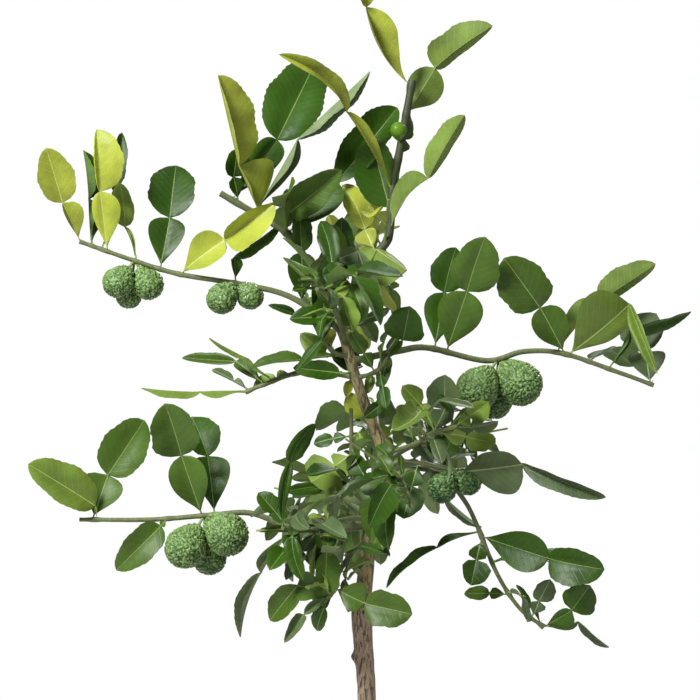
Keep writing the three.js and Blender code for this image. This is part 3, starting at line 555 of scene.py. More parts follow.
# Bits on the soil: chips as (flatness, seed), perlite as (per square metre, smallest, largest,
# flatness, seed), and the flat ring on which they are strewn
CHIPS = (0.32, 4)
PERLITE = (2600.0, 0.0016, 0.0042, 0.9, 9)
PATCH_SIDES = 64
PATCH_GAP = 8
PATCH_HOLE = 0.14


def unit(vector):
    return vector / np.linalg.norm(vector)


def rotated(vector, axis, degrees):
    angle = math.radians(degrees)
    turned = vector * math.cos(angle) + np.cross(axis, vector) * math.sin(angle)
    return turned + axis * np.dot(axis, vector) * (1 - math.cos(angle))


def square_to(vector, axis):
    return unit(vector - axis * np.dot(vector, axis))


class Seed:
    """Numbers between 0 and 1 from a seed, the same each time."""

    def __init__(self, start):
        self.state = start
        self.next()

    def next(self):
        self.state = (self.state * 1664525 + 1013904223) % 2**32
        return self.state / 2**32

    def span(self, ends):
        return ends[0] + (ends[1] - ends[0]) * self.next()

    def pick(self, choices):
        return choices[int(self.next() * len(choices)) % len(choices)]


class Curve:
    """A smooth curve through points, with places on it from 0 to 1."""

    def __init__(self, points):
        points = np.array(points, float)
        before = 2 * points[0] - points[1]
        after = 2 * points[-1] - points[-2]
        self.count = len(points) - 1
        self.points = np.vstack([before, points, after])

    def at(self, stop):
        place = min(max(stop, 0), 1) * self.count
        index = min(int(place), self.count - 1)
        t = place - index
        p0, p1, p2, p3 = self.points[index : index + 4]
        start = 0.5 * (p2 - p0)
        end = 0.5 * (p3 - p1)
        bend = (-3 * p1 + 3 * p2 - 2 * start - end) * t**2
        return p1 + start * t + bend + (2 * p1 - 2 * p2 + start + end) * t**3

    def along(self, stop):
        near = self.at(max(stop - TANGENT_STEP, 0))
        return unit(self.at(min(stop + TANGENT_STEP, 1)) - near)

    def length(self):
        points = np.array([self.at(i / LENGTH_STEPS) for i in range(LENGTH_STEPS + 1)])
        return np.linalg.norm(np.diff(points, axis=0), axis=1).sum()

    def points_between(self, start, end, step):
        count = max(2, math.ceil(self.length() * (end - start) / step))
        return np.array([self.at(start + (end - start) * i / count) for i in range(count + 1)])


class Line:
    """A straight run between two points, with places on it from 0 to 1."""

    def __init__(self, start, end):
        self.start = start
        self.end = end

    def at(self, stop):
        return self.start + (self.end - self.start) * stop

    def along(self, stop):
        return unit(self.end - self.start)


trunk_curve = Curve([[x, y, TRUNK_FOOT + height] for x, y, height in TRUNK_BENDS])


def trunk_stop(height):
    low = 0.0
    high = 1.0
    for _ in range(HALVINGS):
        middle = (low + high) / 2
        if trunk_curve.at(middle)[2] < TRUNK_FOOT + height:
            low = middle
        else:
            high = middle
    return low


def limb_of(row):
    """A limb's curve, the place that lies a given way out or up on it, and its draws."""
    limb = SimpleNamespace(**{**PLAIN_LIMB, **row})
    base = trunk_curve.at(trunk_stop(limb.height))
    angle = math.radians(limb.azimuth)
    limb.out = np.array([math.cos(angle), math.sin(angle), 0])
    limb.curve = Curve([base + limb.out * out + UP * up for out, up in [[0, 0], *limb.bends]])
    limb.length = limb.curve.length()
    limb.way = UP if limb.steep else limb.out
    limb.reach = [(limb.curve.at(i / PLACE_STEPS) - base) @ limb.way for i in range(PLACE_STEPS + 1)]
    limb.bare_stop = stop_at(limb, limb.bare) if limb.bare else 0
    limb.node = "mass_" + limb.name
    limb.random = Seed(limb.seed)
    limb.style = Seed(limb.seed + 500)
    return limb


def stop_at(limb, place):
    for i, reached in enumerate(limb.reach):
        if reached >= place:
            return i / PLACE_STEPS
    return 1


def radius_at(limb, stop):
    thick, slim = limb.radii
    return thick + (slim - thick) * stop


# Leaves as frames to build on, as the solids have them
def heading_axis(heading, toward):
    angle = math.radians(heading)
    lean = math.radians(toward)
    flat = math.cos(lean)
    return np.array([math.cos(angle) * flat, -math.sin(lean), math.sin(angle) * flat])


def facing_leaf(limb, row, toward, share, droop):
    stop = stop_at(limb, row[0])
    stalk = radius_at(limb, stop) + STALK_SHOWS
    share = row[6] if len(row) > 6 else share
    return leaf_at(limb.curve.at(stop), stalk, row[1:6], toward, share, droop)


def leaf_at(base, stalk, row, toward, share, droop):
    heading, seen, turn, roll, breadth = row
    axis = heading_axis(heading, toward)
    blade_axis = heading_axis(heading + turn, toward + droop)
    lean = math.cos(math.radians(toward))
    blade_lean = math.cos(math.radians(toward + droop))
    return SimpleNamespace(
        base=base, axis=axis, face=rotated(square_to(TO_VIEWER, axis), axis, roll),
        blade_axis=blade_axis, blade_face=rotated(square_to(TO_VIEWER, blade_axis), blade_axis, roll),
        length=seen / (share * lean + (1 - share) * blade_lean), share=share, breadth=breadth,
        stalk=stalk,
    )


def dressed(leaf, tint, facing, seen):
    """The leaf with its colour's letter, whether it is one seen face on, and its look."""
    leaf.tint = tint
    leaf.facing = facing
    leaf.seen = seen
    return leaf


def radial_at(along, around):
    start = UP if abs(along[2]) < UPRIGHT else TO_VIEWER
    return rotated(square_to(start, along), along, around)


def free_leaf(curve, stop, order, random, lengths=FREE_LENGTH, stalk=5.0):
    along = curve.along(stop)
    radial = radial_at(along, order * GOLDEN_ANGLE + random.span(SPIRAL_SPREAD))
    axis = radial * FREE_OUTWARD + along * random.span(FREE_ALONG)
    axis = unit(axis + UP * random.span(FREE_UPWARD))
    light = UP * LIGHT_FROM_ABOVE + radial * LIGHT_FROM_OUTSIDE
    face = rotated(square_to(light, axis), axis, random.span(FREE_TILT))
    side = np.cross(face, axis)
    blade_axis = rotated(axis, face, random.span(FREE_TURN))
    blade_axis = rotated(blade_axis, side, random.span(FREE_DROOP))
    return SimpleNamespace(
        base=curve.at(stop), axis=axis, face=face, blade_axis=blade_axis,
        blade_face=square_to(face, blade_axis), length=random.span(lengths),
        share=random.span(WING_SHARE), breadth=random.span(FREE_BREADTH), stalk=stalk,
    )


def corners_of(leaf):
    """The corners of the leaf's solid: its widest places and its tip."""
    wing = leaf.length * leaf.share
    blade = leaf.length - wing
    wide = leaf.length * leaf.breadth
    waist = leaf.base + leaf.axis * wing
    across = np.cross(leaf.face, leaf.axis)
    blade_across = np.cross(leaf.blade_face, leaf.blade_axis)
    rows = [
        (leaf.base + leaf.axis * wing * WING_WIDEST, across * wide * WING_HALF_WIDTH),
        (waist + leaf.blade_axis * blade * BLADE_WIDEST, blade_across * wide * BLADE_HALF_WIDTH),
        (waist + leaf.blade_axis * blade * BLADE_FAR, blade_across * wide * BLADE_FAR_HALF_WIDTH),
    ]
    corners = [centre + offset * side for centre, offset in rows for side in (1, -1)]
    return [*corners, waist + leaf.blade_axis * blade]


def surface_of(names):
    """The surface of these solids, for finding what lies on it."""
    points = []
    faces = []
    for name in names:
        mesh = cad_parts[name].data
        start = len(points)
        points.extend(vertex.co.copy() for vertex in mesh.vertices)
        faces.extend([start + i for i in polygon.vertices] for polygon in mesh.polygons)
    return BVHTree.FromPolygons(points, faces)


def distance_to(surface, point):
    _, _, _, distance = surface.find_nearest(Vector(point * MM))
    return distance / MM


def corners_found(surface, leaf):
    return sum(distance_to(surface, corner) < ON_SURFACE for corner in corners_of(leaf))


def grow(limb):
    """Repeats the limb's draws, and keeps each leaf, twig and fruit that its solid has."""
    surface = surface_of([limb.node])
    leaves = []
    for index, row in enumerate(limb.facing):
        toward = limb.random.span(FACING_TOWARD) * (-1 if index % 2 else 1)
        share = limb.random.span(WING_SHARE)
        droop = limb.random.span(FACING_DROOP)
        choices = [facing_leaf(limb, row, toward * lean, share, droop) for lean in LEANS]
        found = [corners_found(surface, leaf) for leaf in choices]
        best = int(np.argmax(found))
        if found[best] >= CORNERS_ENOUGH:
            seen = limb.looks.get(index, look())
            lean = toward * LEANS[best] if seen.lean is None else seen.lean
            place, heading, length, turn = row[:4]
            turned = [place, heading + seen.heading, length * seen.longer, turn + seen.turn, *row[4:]]
            leaf = facing_leaf(limb, turned, lean, share, droop)
            leaves.append(dressed(leaf, limb.tints[index], True, seen))
    twigs = []
    start = limb.bare_stop + TWIG_START / limb.length
    for order in range(limb.twigs):
        stop = start + (1 - start) * (order + 0.5) / (limb.twigs + 0.5)
        along = limb.curve.along(stop)
        way = radial_at(along, order * 180 + limb.random.span(TWIG_AROUND)) * TWIG_OUTWARD
        way = unit(way + along * TWIG_ALONG + UP * limb.random.span(TWIG_UPWARD))
        foot = limb.curve.at(stop)
        twig = Line(foot, foot + way * limb.random.span(TWIG_LENGTH))
        middle = (twig.at(0.8) + twig.at(0.9)) / 2
        if distance_to(surface, middle) < TWIG_RADII[0] + ON_SURFACE:
            twigs.append(twig)
            leaves += grow_free(limb, surface, twig, TWIG_BARE, TWIG_LEAVES)
    leaves += grow_free(limb, surface, limb.curve, start, limb.free)
    limb.leaves = leaves
    limb.side_twigs = twigs
    add_finer(limb)
    limb.fruits = [fruit_of(limb, row) for row in limb.fruit]


def hang(leaf, random):
    """Lets the blade of a free leaf droop and fold further than its solid does."""
    halves = [random.span(FREE_HALF) for _ in range(4)]
    leaf.seen = look(halves[:2], halves[2:], random.span((-0.3, 0.3)), random.span((-0.08, 0.08)))
    side = np.cross(leaf.blade_axis, -UP)
    length = np.linalg.norm(side)
    if length > 0.2:
        down = random.span(HANG) * length
        leaf.blade_axis = rotated(leaf.blade_axis, side / length, down)
        leaf.blade_face = rotated(leaf.blade_face, side / length, down)


def add_finer(limb):
    """Leaves that the solids leave out, each on a twig from the nearest wood."""
    wood = [limb.curve.at(i / PLACE_STEPS) for i in range(PLACE_STEPS)]
    wood += [trunk_curve.at(i / PLACE_STEPS) for i in range(PLACE_STEPS)]
    for x, height, forward, *row, share, tint, seen in limb.finer:
        base = np.array([x, -forward, height])
        foot = min(wood, key=lambda point: np.linalg.norm(point - base))
        leaf = leaf_at(base, FINER_STALK, row, FINER_LEAN if seen.lean is None else seen.lean, share, 0)
        limb.leaves.append(dressed(leaf, tint, True, seen))
        limb.side_twigs.append(Line(foot, base))


def hides_trunk(leaf):
    """True for a leaf before the run of the trunk that stays open to the front."""
    middle = leaf.base + leaf.axis * leaf.length * leaf.share + leaf.blade_axis * leaf.length * 0.2
    low, high = OPEN_TRUNK
    if not low < middle[2] < high or middle[1] > 0:
        return False
    wood = trunk_curve.at(trunk_stop(middle[2] - TRUNK_FOOT))
    return abs(middle[0] - wood[0]) < OPEN_ASIDE


def grow_free(limb, surface, curve, start, count):
    kept = []
    for order in range(count):
        stop = start + (1 - start) * (order + PLACE_SPREAD * limb.random.next()) / count
        leaf = free_leaf(curve, stop, order, limb.random)
        dressed(leaf, limb.style.pick(limb.mix), False, look())
        if corners_found(surface, leaf) >= CORNERS_ENOUGH:
            if limb.spurred:
                hang(leaf, limb.style)
            if order not in limb.omit and not hides_trunk(leaf):
                kept.append(leaf)
    return kept


def fruit_of(limb, row):
    place, aside, down, forward, diameter = row[:5]
    start = limb.curve.at(stop_at(limb, place))
    centre = start + np.array([aside, -forward, -down])
    # The sixth value is a painted shade that darkens the rind of a fruit hanging behind others or deep in
    # the crown
    shade = row[5] if len(row) > 5 else 0
    axis = unit(start - centre)
    return SimpleNamespace(start=start, centre=centre, radius=diameter / 2, axis=axis, shade=shade)


# Meshes from arrays
def store(mesh, name, values):
    made = mesh.attributes.new(name, "FLOAT", "POINT")
    made.data.foreach_set("value", values.astype(np.float32))


class Parts:
    """Points and faces of many like things, gathered for one mesh."""

    def __init__(self):
        self.points = []
        self.faces = []
        self.skins = []
        self.flat = []
        self.tones = []
        self.count = 0

    def add(self, points, faces, tone=0.5, skins=None, flat=None):
        self.faces += [shape + self.count for shape in faces]
        self.skins += skins or [np.zeros(len(shape)) for shape in faces]
        self.points.append(points)
        self.flat.append(points[:, :2] / 10 if flat is None else flat)
        self.tones.append(np.broadcast_to(tone, len(points)))
        self.count += len(points)

    def mesh(self, name, materials):
        made = bpy.data.meshes.new(name)
        points = np.concatenate(self.points) * MM
        made.vertices.add(len(points))
        made.vertices.foreach_set("co", points.ravel().astype(np.float32))
        sizes = np.concatenate([np.full(len(shape), shape.shape[1]) for shape in self.faces])
        corners = np.concatenate([shape.ravel() for shape in self.faces])
        made.loops.add(len(corners))
        made.loops.foreach_set("vertex_index", corners.astype(np.int32))
        made.polygons.add(len(sizes))
        starts = np.concatenate([[0], np.cumsum(sizes)[:-1]])
        made.polygons.foreach_set("loop_start", starts.astype(np.int32))
        made.polygons.foreach_set("material_index", np.concatenate(self.skins).astype(np.int32))
        for material in materials:
            made.materials.append(material)
        made.update(calc_edges=True)
        made.shade_smooth()
        flat = np.concatenate(self.flat)[corners]
        layer = made.uv_layers.new(name=SURFACE_MAP)
        layer.data.foreach_set("uv", flat.ravel().astype(np.float32))
        store(made, "tone", np.concatenate(self.tones))
        return made


def ring_faces(rows, sides, start=0):
    """The four-sided faces between rings of points, as [face, corner]."""
    row = np.arange(rows - 1)[:, None] * sides + start
    near = np.arange(sides)[None, :]
    far = (near + 1) % sides
    quads = np.stack([row + near, row + far, row + sides + far, row + sides + near], axis=2)
    return quads.reshape(-1, 4)


def spokes(hub, start, sides, upward):
    """The three-sided faces between a ring of points and the hub over or under it."""
    near = start + np.arange(sides)
    far = start + (np.arange(sides) + 1) % sides
    pair = [near, far] if upward else [far, near]
    return np.stack([np.full(sides, hub), *pair], axis=1)


def halved(quads, first):
    """Each four-sided face as two triangles that meet along the diagonal from this corner."""
    turned = np.roll(quads, -first, axis=1)
    return np.stack([turned[:, [0, 1, 2]], turned[:, [0, 2, 3]]], axis=1).reshape(-1, 3)


# Leaves
def wing_outline(u):
    rise = np.sin(np.clip(u / WING_PEAK, 0, 1) * math.pi / 2) ** 1.2
    fall = (1 - np.clip((u - WING_PEAK) / (1 - WING_PEAK), 0, 1) ** 2.3) ** 0.6
    return np.where(u < WING_PEAK, rise, fall)


def blade_outline(v, blunt, peak):
    rise = (1 - (1 - np.clip(v / peak, 0, 1)) ** 2.2) ** 0.62
    fall = (1 - np.clip((v - peak) / (1 - peak), 0, 1) ** blunt) ** 0.66
    return np.where(v < peak, rise, fall)


def style_of(random, tint, facing):
    """How one leaf folds, cups, waves, bends and twists."""
    young = tint in "yb"
    loose = 0.5 if facing else 1.0
    side = 1 if random.next() < 0.5 else -1
    return SimpleNamespace(
        fold=random.span((18, 36) if facing or young else (8, 34)), curl=random.span((-0.2, 0.3)),
        wave=random.span((0.2, 1.0) if facing else (0.5, 2.6)), wave_length=random.span((28, 58)),
        phase=random.span((0, 6.28)), arch=random.span((-0.03, 0.09)), sag=random.span((-0.04, 0.24)),
        sweep=random.span((-0.04, 0.04)) * loose, twist=side * random.span((0, 34)) * loose,
        blunt=random.span((2.0, 3.1)), peak=random.span((0.34, 0.46)), uneven=random.span((-0.07, 0.07)),
        tone=random.next(),
    )


def turned_pair(first, second, angle):
    """Two ways square to each other, turned together in their plane by an angle."""
    cosine = np.cos(angle)
    sine = np.sin(angle)
    return first * cosine + second * sine, second * cosine - first * sine


def leaf_shell(leaf, style):
    """One double leaf: a stalk, a wing, a narrow waist and a blade, closed above and below."""
    shows = -1 if leaf.tint.isupper() else 1
    wing = leaf.length * leaf.share
    blade = (leaf.length - wing) * leaf.seen.shorter
    stalk = min(leaf.stalk, wing * 0.45)
    wing_rows = max(4, round((wing - stalk) / WING_ROW))
    blade_rows = max(8, round(blade / BLADE_ROW))
    u = 1 - (1 - np.arange(1, wing_rows + 1) / wing_rows) ** 1.25
    t = np.arange(1, blade_rows + 1) / blade_rows
    v = 0.72 * t + 0.28 * (1 - np.cos(math.pi * t)) / 2
    wing_y = np.concatenate([[0, stalk * 0.6, stalk], stalk + (wing - stalk) * u])
    wing_wide = min(WING_HALF_WIDTH * leaf.length * leaf.breadth, 0.5 * (wing - stalk) + 1)
    blade_wide = BLADE_HALF_WIDTH * leaf.length * leaf.breadth
    edge = np.where((v > 0.08) & (v < 0.97), SCALLOP * (-1.0) ** np.arange(blade_rows), 0)
    edge = edge + BUMPY * np.sin(2.3 * math.tau * v + style.phase) * np.sin(math.pi * v)
    wing_half = STALK_HALF + (wing_wide - STALK_HALF) * wing_outline(np.concatenate([[0, 0, 0], u]))
    wing_half[-1] = WAIST_HALF
    blade_half = blade_wide * blade_outline(v, style.blunt, style.peak) * (1 + edge)
    blade_half = WAIST_HALF * (1 - v) + blade_half
    blade_half[-1] = TIP_HALF
    half = np.concatenate([wing_half, blade_half])
    y = np.concatenate([wing_y, wing + blade * v])
    share = wing_y / wing
    rise = np.concatenate([style.arch * wing * 4 * share * (1 - share), -style.sag * blade * v**2])
    slope = np.concatenate([style.arch * 4 * (1 - 2 * share), -2 * style.sag * v])[:, None]
    bow = style.sweep * 0.5 - leaf.seen.bow * shows
    bend = -leaf.seen.bend * shows
    aside = np.concatenate([bend * wing * 4 * share * (1 - share), bow * blade * v**2])
    veer = np.arctan(np.concatenate([bend * 4 * (1 - 2 * share), 2 * bow * v]))[:, None]
    twist = np.radians(np.concatenate([share * style.twist * 0.3, style.twist * (0.3 + 0.7 * v)]))
    is_wing = (np.arange(len(y)) < len(wing_y))[:, None]
    axis = np.where(is_wing, leaf.axis, leaf.blade_axis)
    face = np.where(is_wing, leaf.face, leaf.blade_face) * shows
    waist = leaf.base + leaf.axis * wing
    run = np.where(is_wing[:, 0], y, y - wing)[:, None]
    centre = np.where(is_wing, leaf.base, waist) + axis * run + face * rise[:, None]
    across = np.cross(face, axis)
    centre = centre + across * aside[:, None]
    across, axis = turned_pair(across, axis, -veer)
    face = face - axis * slope
    face = face / np.linalg.norm(face, axis=1, keepdims=True)
    across, face = turned_pair(across, face, twist[:, None])

    thick = np.full(len(y), LEAF_THICK)
    thick[:3] = STALK_HALF * 2
    thick[3] = STALK_HALF
    thick[len(wing_y) - 1] = WAIST_HALF
    rib = np.clip(np.interp(y, [0, leaf.length], [RIB_HALF, 0.2]) / half, 0.02, 0.3)
    inner = np.array(COLUMNS[1:])
    ones = np.ones(len(y))
    left = [-ones * COLUMNS[0], *(-ones * s for s in inner), -rib]
    top = np.stack([*left, rib, *(ones * s for s in inner[::-1]), ones], axis=1)
    under = top[:, ::-1][:, 1:-1]
    s = np.concatenate([top, under], axis=1)
    is_left = s * shows > 0
    blade_seen = np.where(is_left, *leaf.seen.blade)
    seen = np.where(is_wing, np.where(is_left, *leaf.seen.wing), blade_seen)
    away = np.abs(s) * half[:, None] * (1 + style.uneven * np.sign(s))
    x = np.sign(s) * away * seen
    shown = np.concatenate([np.full(top.shape[1], 1.0), np.full(under.shape[1], -1.0)])
    spread = np.clip(half / blade_wide, 0, 1)[:, None]
    folded = FOLD_LIFT * np.sqrt(np.maximum(1 - seen**2, 0))
    lift = np.maximum(folded, math.tan(math.radians(style.fold)))
    z = lift * away * (0.35 + 0.65 * spread) * (1 - 0.3 * s**2)
    z = z + style.curl * away * s**2 * spread
    turn = 2 * math.pi * y[:, None] / style.wave_length + style.phase + np.sign(x) * 0.9
    z = z + style.wave * np.sin(turn) * s**2 * spread
    quilt = np.sin(2 * math.pi * (y[:, None] - VEIN_SLOPE * away) / VEIN_GAP)
    z = z + QUILT * quilt * np.abs(s) * (1 - np.abs(s)) * 4 * spread
    z = z + shown * 0.5 * thick[:, None] * np.sqrt(np.maximum(1 - s**2, 0))
    middle = np.isclose(np.abs(s), rib[:, None])
    z = z + np.where(middle & (shown > 0), RIB_RAISED, 0) - np.where(middle & (shown < 0), RIB_DEEP, 0)
    points = centre[:, None] + across[:, None] * x[:, :, None] + face[:, None] * z[:, :, None]
    flat = np.stack([x, np.broadcast_to(y[:, None], x.shape)], axis=2) / 10

    sides = s.shape[1]
    tops = top.shape[1]
    quads = ring_faces(len(y), sides)
    is_top = np.tile(np.arange(sides) < tops - 1, len(y) - 1)
    faces = np.concatenate([halved(quads[is_top], 0), halved(quads[~is_top], 1)])
    skin = np.full(sides, 2)
    skin[: tops - 1] = 0
    skin[tops // 2 - 1] = 1
    skin[tops + tops // 2 - 2] = 1
    skins = np.tile(skin, len(y) - 1)
    skins[: sides * 2] = 1
    skins = np.concatenate([np.repeat(skins[is_top], 2), np.repeat(skins[~is_top], 2)])
    fan = np.array([[0, j + 1, j] for j in range(1, sides - 1)])
    last = (len(y) - 1) * sides
    caps = np.concatenate([fan, last + fan[:, ::-1]])
    return (
        points.reshape(-1, 3), [faces[:, ::-1], caps[:, ::-1]], style.tone,
        [skins, np.full(len(caps), 1)], flat.reshape(-1, 2),
    )


def linked(name, data):
    """A new object in the scene."""
    made = bpy.data.objects.new(name, data)
    bpy.context.scene.collection.objects.link(made)
    return made


def piece_from(mesh, slot_name, *nodes):
    """An object for a finished mesh, riding on the plant and standing for its nodes."""
    piece = linked(mesh.name, mesh)
    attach(piece, BODY)
    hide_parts(*nodes)


# Wood
def bark_place(way, height, grain):
    around, along = grain
    return Vector((way[0] * around, way[1] * around, height / along))


def trunk_mesh(materials):
    """The trunk with its graft swelling, knots, branch collars and cracked bark."""
    rows = round(trunk_curve.length() / TRUNK_ROW)
    stops = np.arange(rows + 1) / rows
    centres = np.array([trunk_curve.at(stop) for stop in stops])
    heights = np.clip(centres[:, 2] - TRUNK_FOOT, 0, TRUNK_BENDS[-1][2])
    girth = np.array(TRUNK_GIRTH, float)
    radii = np.interp(heights, girth[:, 0], girth[:, 1])
    turns = np.arange(TRUNK_SIDES) * 2 * math.pi / TRUNK_SIDES
    ways = np.stack([np.cos(turns), np.sin(turns), 0 * turns], axis=1)
    relief = np.zeros((rows + 1, TRUNK_SIDES))
    for i, height in enumerate(heights):
        for j, way in enumerate(ways):
            coarse = noise.fractal(bark_place(way, height, BARK_LUMPS), 1, 2, 3)
            crack = noise.noise(bark_place(way, height, BARK_CRACKS))
            fine = noise.noise(bark_place(way, height, BARK_GRAIN))
            relief[i, j] = coarse * 0.5 + abs(crack) * 0.9 - 0.25 + fine * 0.22
    relief *= np.interp(heights, [0, GRAFT_HEIGHT, GRAFT_HEIGHT + 40], [1.0, 1.1, 0.6])[:, None]
    knots = [(limb.height, limb.azimuth, limb.radii[0] * 0.32, limb.radii[0] * 1.5) for limb in limbs]
    for height, azimuth, out, wide in [*knots, *TRUNK_KNOTS]:
        around = (np.degrees(turns)[None, :] - azimuth + 180) % 360 - 180
        aside = np.radians(around) * radii[:, None]
        apart = (heights[:, None] - height) ** 2 + aside**2
        relief += out * np.exp(-apart / wide**2)
    folds = 1 + FLARE_FOLDS * np.cos(5 * turns + 0.7)[None, :] * np.exp(-heights / 14)[:, None]
    rings = centres[:, None] + ways[None] * ((radii[:, None] + relief) * folds)[:, :, None]
    crown = [rings[-1] + (centres[-1] - rings[-1]) * inward + UP * up for inward, up in TRUNK_CROWN]
    rings = np.concatenate([rings, np.array(crown)])
    points = rings.reshape(-1, 3)
    fan = np.array([[0, j + 1, j] for j in range(1, TRUNK_SIDES - 1)])
    last = len(points) - TRUNK_SIDES
    faces = [ring_faces(len(rings), TRUNK_SIDES), fan, last + fan[:, ::-1]]
    parts = Parts()
    parts.add(points, faces)
    return parts.mesh("trunk_bark", materials)


def paths_object(name, paths, shades=0.0):
    """Runs of points with a radius at each, as edges for the tube tree to follow."""
    made = bpy.data.meshes.new(name)
    points = np.concatenate([points for points, _ in paths]) * MM
    each = [len(points) for points, _ in paths]
    starts = np.cumsum([0] + each)
    edges = [(i, i + 1) for a, b in zip(starts[:-1], starts[1:]) for i in range(a, b - 1)]
    made.from_pydata(points.tolist(), edges, [])
    values = {
        "radius": np.concatenate([radii for _, radii in paths]) * MM,
        "order": np.repeat(np.arange(len(paths)) * RUN_APART, each),
        "shade": np.repeat(np.broadcast_to(shades, len(paths)), each),
    }
    for key, value in values.items():
        store(made, key, value)
    return linked(name, made)


def marks_object(name, marks):
    """Points with a way to face and a size, for small things to be set on."""
    made = bpy.data.meshes.new(name)
    made.from_pydata([tuple(mark.at * MM) for mark in marks], [], [])
    way = made.attributes.new("way", "FLOAT_VECTOR", "POINT")
    way.data.foreach_set("vector", np.array([mark.way for mark in marks], np.float32).ravel())
    store(made, "size", np.array([mark.size * MM for mark in marks]))
    return linked(name, made)


def applied(source, name):
    """The plain mesh that an object's modifier makes of it. The object itself is removed."""
    bpy.context.view_layer.update()
    evaluated = source.evaluated_get(bpy.context.evaluated_depsgraph_get())
    made = bpy.data.meshes.new_from_object(evaluated)
    made.name = name
    bpy.data.objects.remove(source)
    return made


def grown_mesh(source, tree, inputs, name):
    """The plain mesh that a tree of geometry nodes makes from an object."""
    modifier = source.modifiers.new("growth", "NODES")
    modifier.node_group = tree
    sockets = {item.name: item.identifier for item in tree.interface.items_tree if item.in_out == "INPUT"}
    for label, value in inputs.items():
        modifier[sockets[label]] = value
    return applied(source, name)


def limb_path(limb):
    """The whole limb, from inside the trunk to its tip, swollen where it leaves the trunk."""
    points = limb.curve.points_between(0, 1, LIMB_ROW)
    stops = np.arange(len(points)) / (len(points) - 1)
    radii = np.array([radius_at(limb, stop) for stop in stops])
    run = stops * limb.length
    radii *= 1 + COLLAR * np.exp(-(run / COLLAR_RUN) ** 2)
    for leaf in limb.leaves:
        apart = np.linalg.norm(points - leaf.base, axis=1)
        radii += NODE_SWELL * np.exp(-(apart / NODE_RUN) ** 2)
    return points, radii


def line_path(start, end, radii, step=4.0, bow=0.0):
    """A slim run between two points, with a slight bow upwards."""
    count = max(2, math.ceil(np.linalg.norm(end - start) / step))
    share = np.arange(count + 1)[:, None] / count
    points = start + (end - start) * share + UP * bow * 4 * share * (1 - share)
    return points, np.interp(share[:, 0], [0, 1], radii)


def grow_spurs(limb, surface, solid_box):
    """Short shoots with a few small leaves, where nothing of the solids is in their way."""
    random = Seed(limb.seed + 1000)
    low, high = solid_box
    limb.spurs = []
    count = int(limb.length * (1 - limb.bare_stop) / SPUR_GAP) if limb.spurred else 0
    for order in range(count):
        stop = limb.bare_stop + (1 - limb.bare_stop) * (order + random.next()) / count
        along = limb.curve.along(stop)
        way = radial_at(along, order * GOLDEN_ANGLE + random.span((0, 90))) * 0.8
        way = unit(way + along * random.span((0.3, 0.9)) + UP * random.span((0.0, 0.5)))
        foot = limb.curve.at(stop)
        spur = Line(foot, foot + way * random.span(SPUR_LENGTH))
        tint = random.pick("bm" + limb.mix)
        kept = []
        for place in range(SPUR_LEAVES):
            seat = (place + 1.6) / (SPUR_LEAVES + 1)
            leaf = free_leaf(spur, seat, place, random, SPUR_LEAF, SPUR_STALK)
            dressed(leaf, tint, False, look())
            corners = corners_of(leaf)
            inside = all(np.all(corner > low) and np.all(corner < high) for corner in corners)
            if inside and all(distance_to(surface, corner) > CLEAR_OF_LEAVES for corner in corners):
                kept.append(leaf)
        if kept:
            limb.spurs.append(spur)
            limb.leaves += kept


# Fruit
def fruit_shell(fruit, around, up):
    """A round body with a neck to its stalk, its rind wrinkled in winding ridges."""
    turns = np.arange(around) * 2 * math.pi / around
    lifts = np.linspace(-1, 1, up + 1)[1:-1] * math.pi / 2
    side = square_to(TO_VIEWER if abs(fruit.axis[1]) < UPRIGHT else UP, fruit.axis)
    front = np.cross(fruit.axis, side)
    points = []
    tones = []
    for lift in [-math.pi / 2, *lifts, math.pi / 2]:
        ring = [0] if abs(lift) == math.pi / 2 else turns
        for turn in ring:
            way = (side * math.cos(turn) + front * math.sin(turn)) * math.cos(lift)
            way = way + fruit.axis * math.sin(lift)
            height = ridge_height(fruit, way)
            neck = FRUIT_NECK_RISE * max(0.0, math.sin(lift)) ** FRUIT_NECK_SLIM
            out = fruit.radius * (FRUIT_BODY + neck) + height * RIDGE * fruit.radius
            points.append(fruit.centre + way * out)
            # The rind's tone: the ridge height, less the fruit's painted shade and a painted shade on its
            # underside
            tone = height - fruit.shade - UNDERSIDE * max(0.0, 0.3 - way[2])
            tones.append(YOUNG_RIND if fruit.radius < SMOOTH_UNDER else tone)
    points = np.array(points)
    top = len(points) - 1
    ends = [spokes(0, 1, around, False), spokes(top, top - around, around, True)]
    return points, [ring_faces(up - 1, around, 1), *ends], np.array(tones)


def ridge_height(fruit, way):
    """0 in the winding creases between ridges, 1 on their backs."""
    if fruit.radius < SMOOTH_UNDER:
        return SMOOTH_RIDGE
    place = Vector(way * fruit.radius / RIDGE_WIDE + fruit.centre)
    bent = place + noise.noise_vector(place * 0.45) * 0.8
    crease = min(1.0, abs(noise.noise(bent)) * 2.5)
    pit = noise.noise(bent * 2.3) * 0.24
    return min(1.0, max(0.0, crease**0.8 + pit))


# Pot and soil
def rounded(corners, steps=5):
    """An outline whose corners, [radius, height, rounding], are turned into arcs."""
    outline = [corners[0][:2]]
    for before, corner, after in zip(corners[:-2], corners[1:-1], corners[2:]):
        here = np.array(corner[:2], float)
        start = here + unit(np.array(before[:2]) - here) * corner[2]
        end = here + unit(np.array(after[:2]) - here) * corner[2]
        for i in range(steps + 1):
            t = i / steps
            outline.append(start * (1 - t) ** 2 + here * 2 * t * (1 - t) + end * t**2)
    outline.append(corners[-1][:2])
    return np.array([list(point) for point in outline], float)


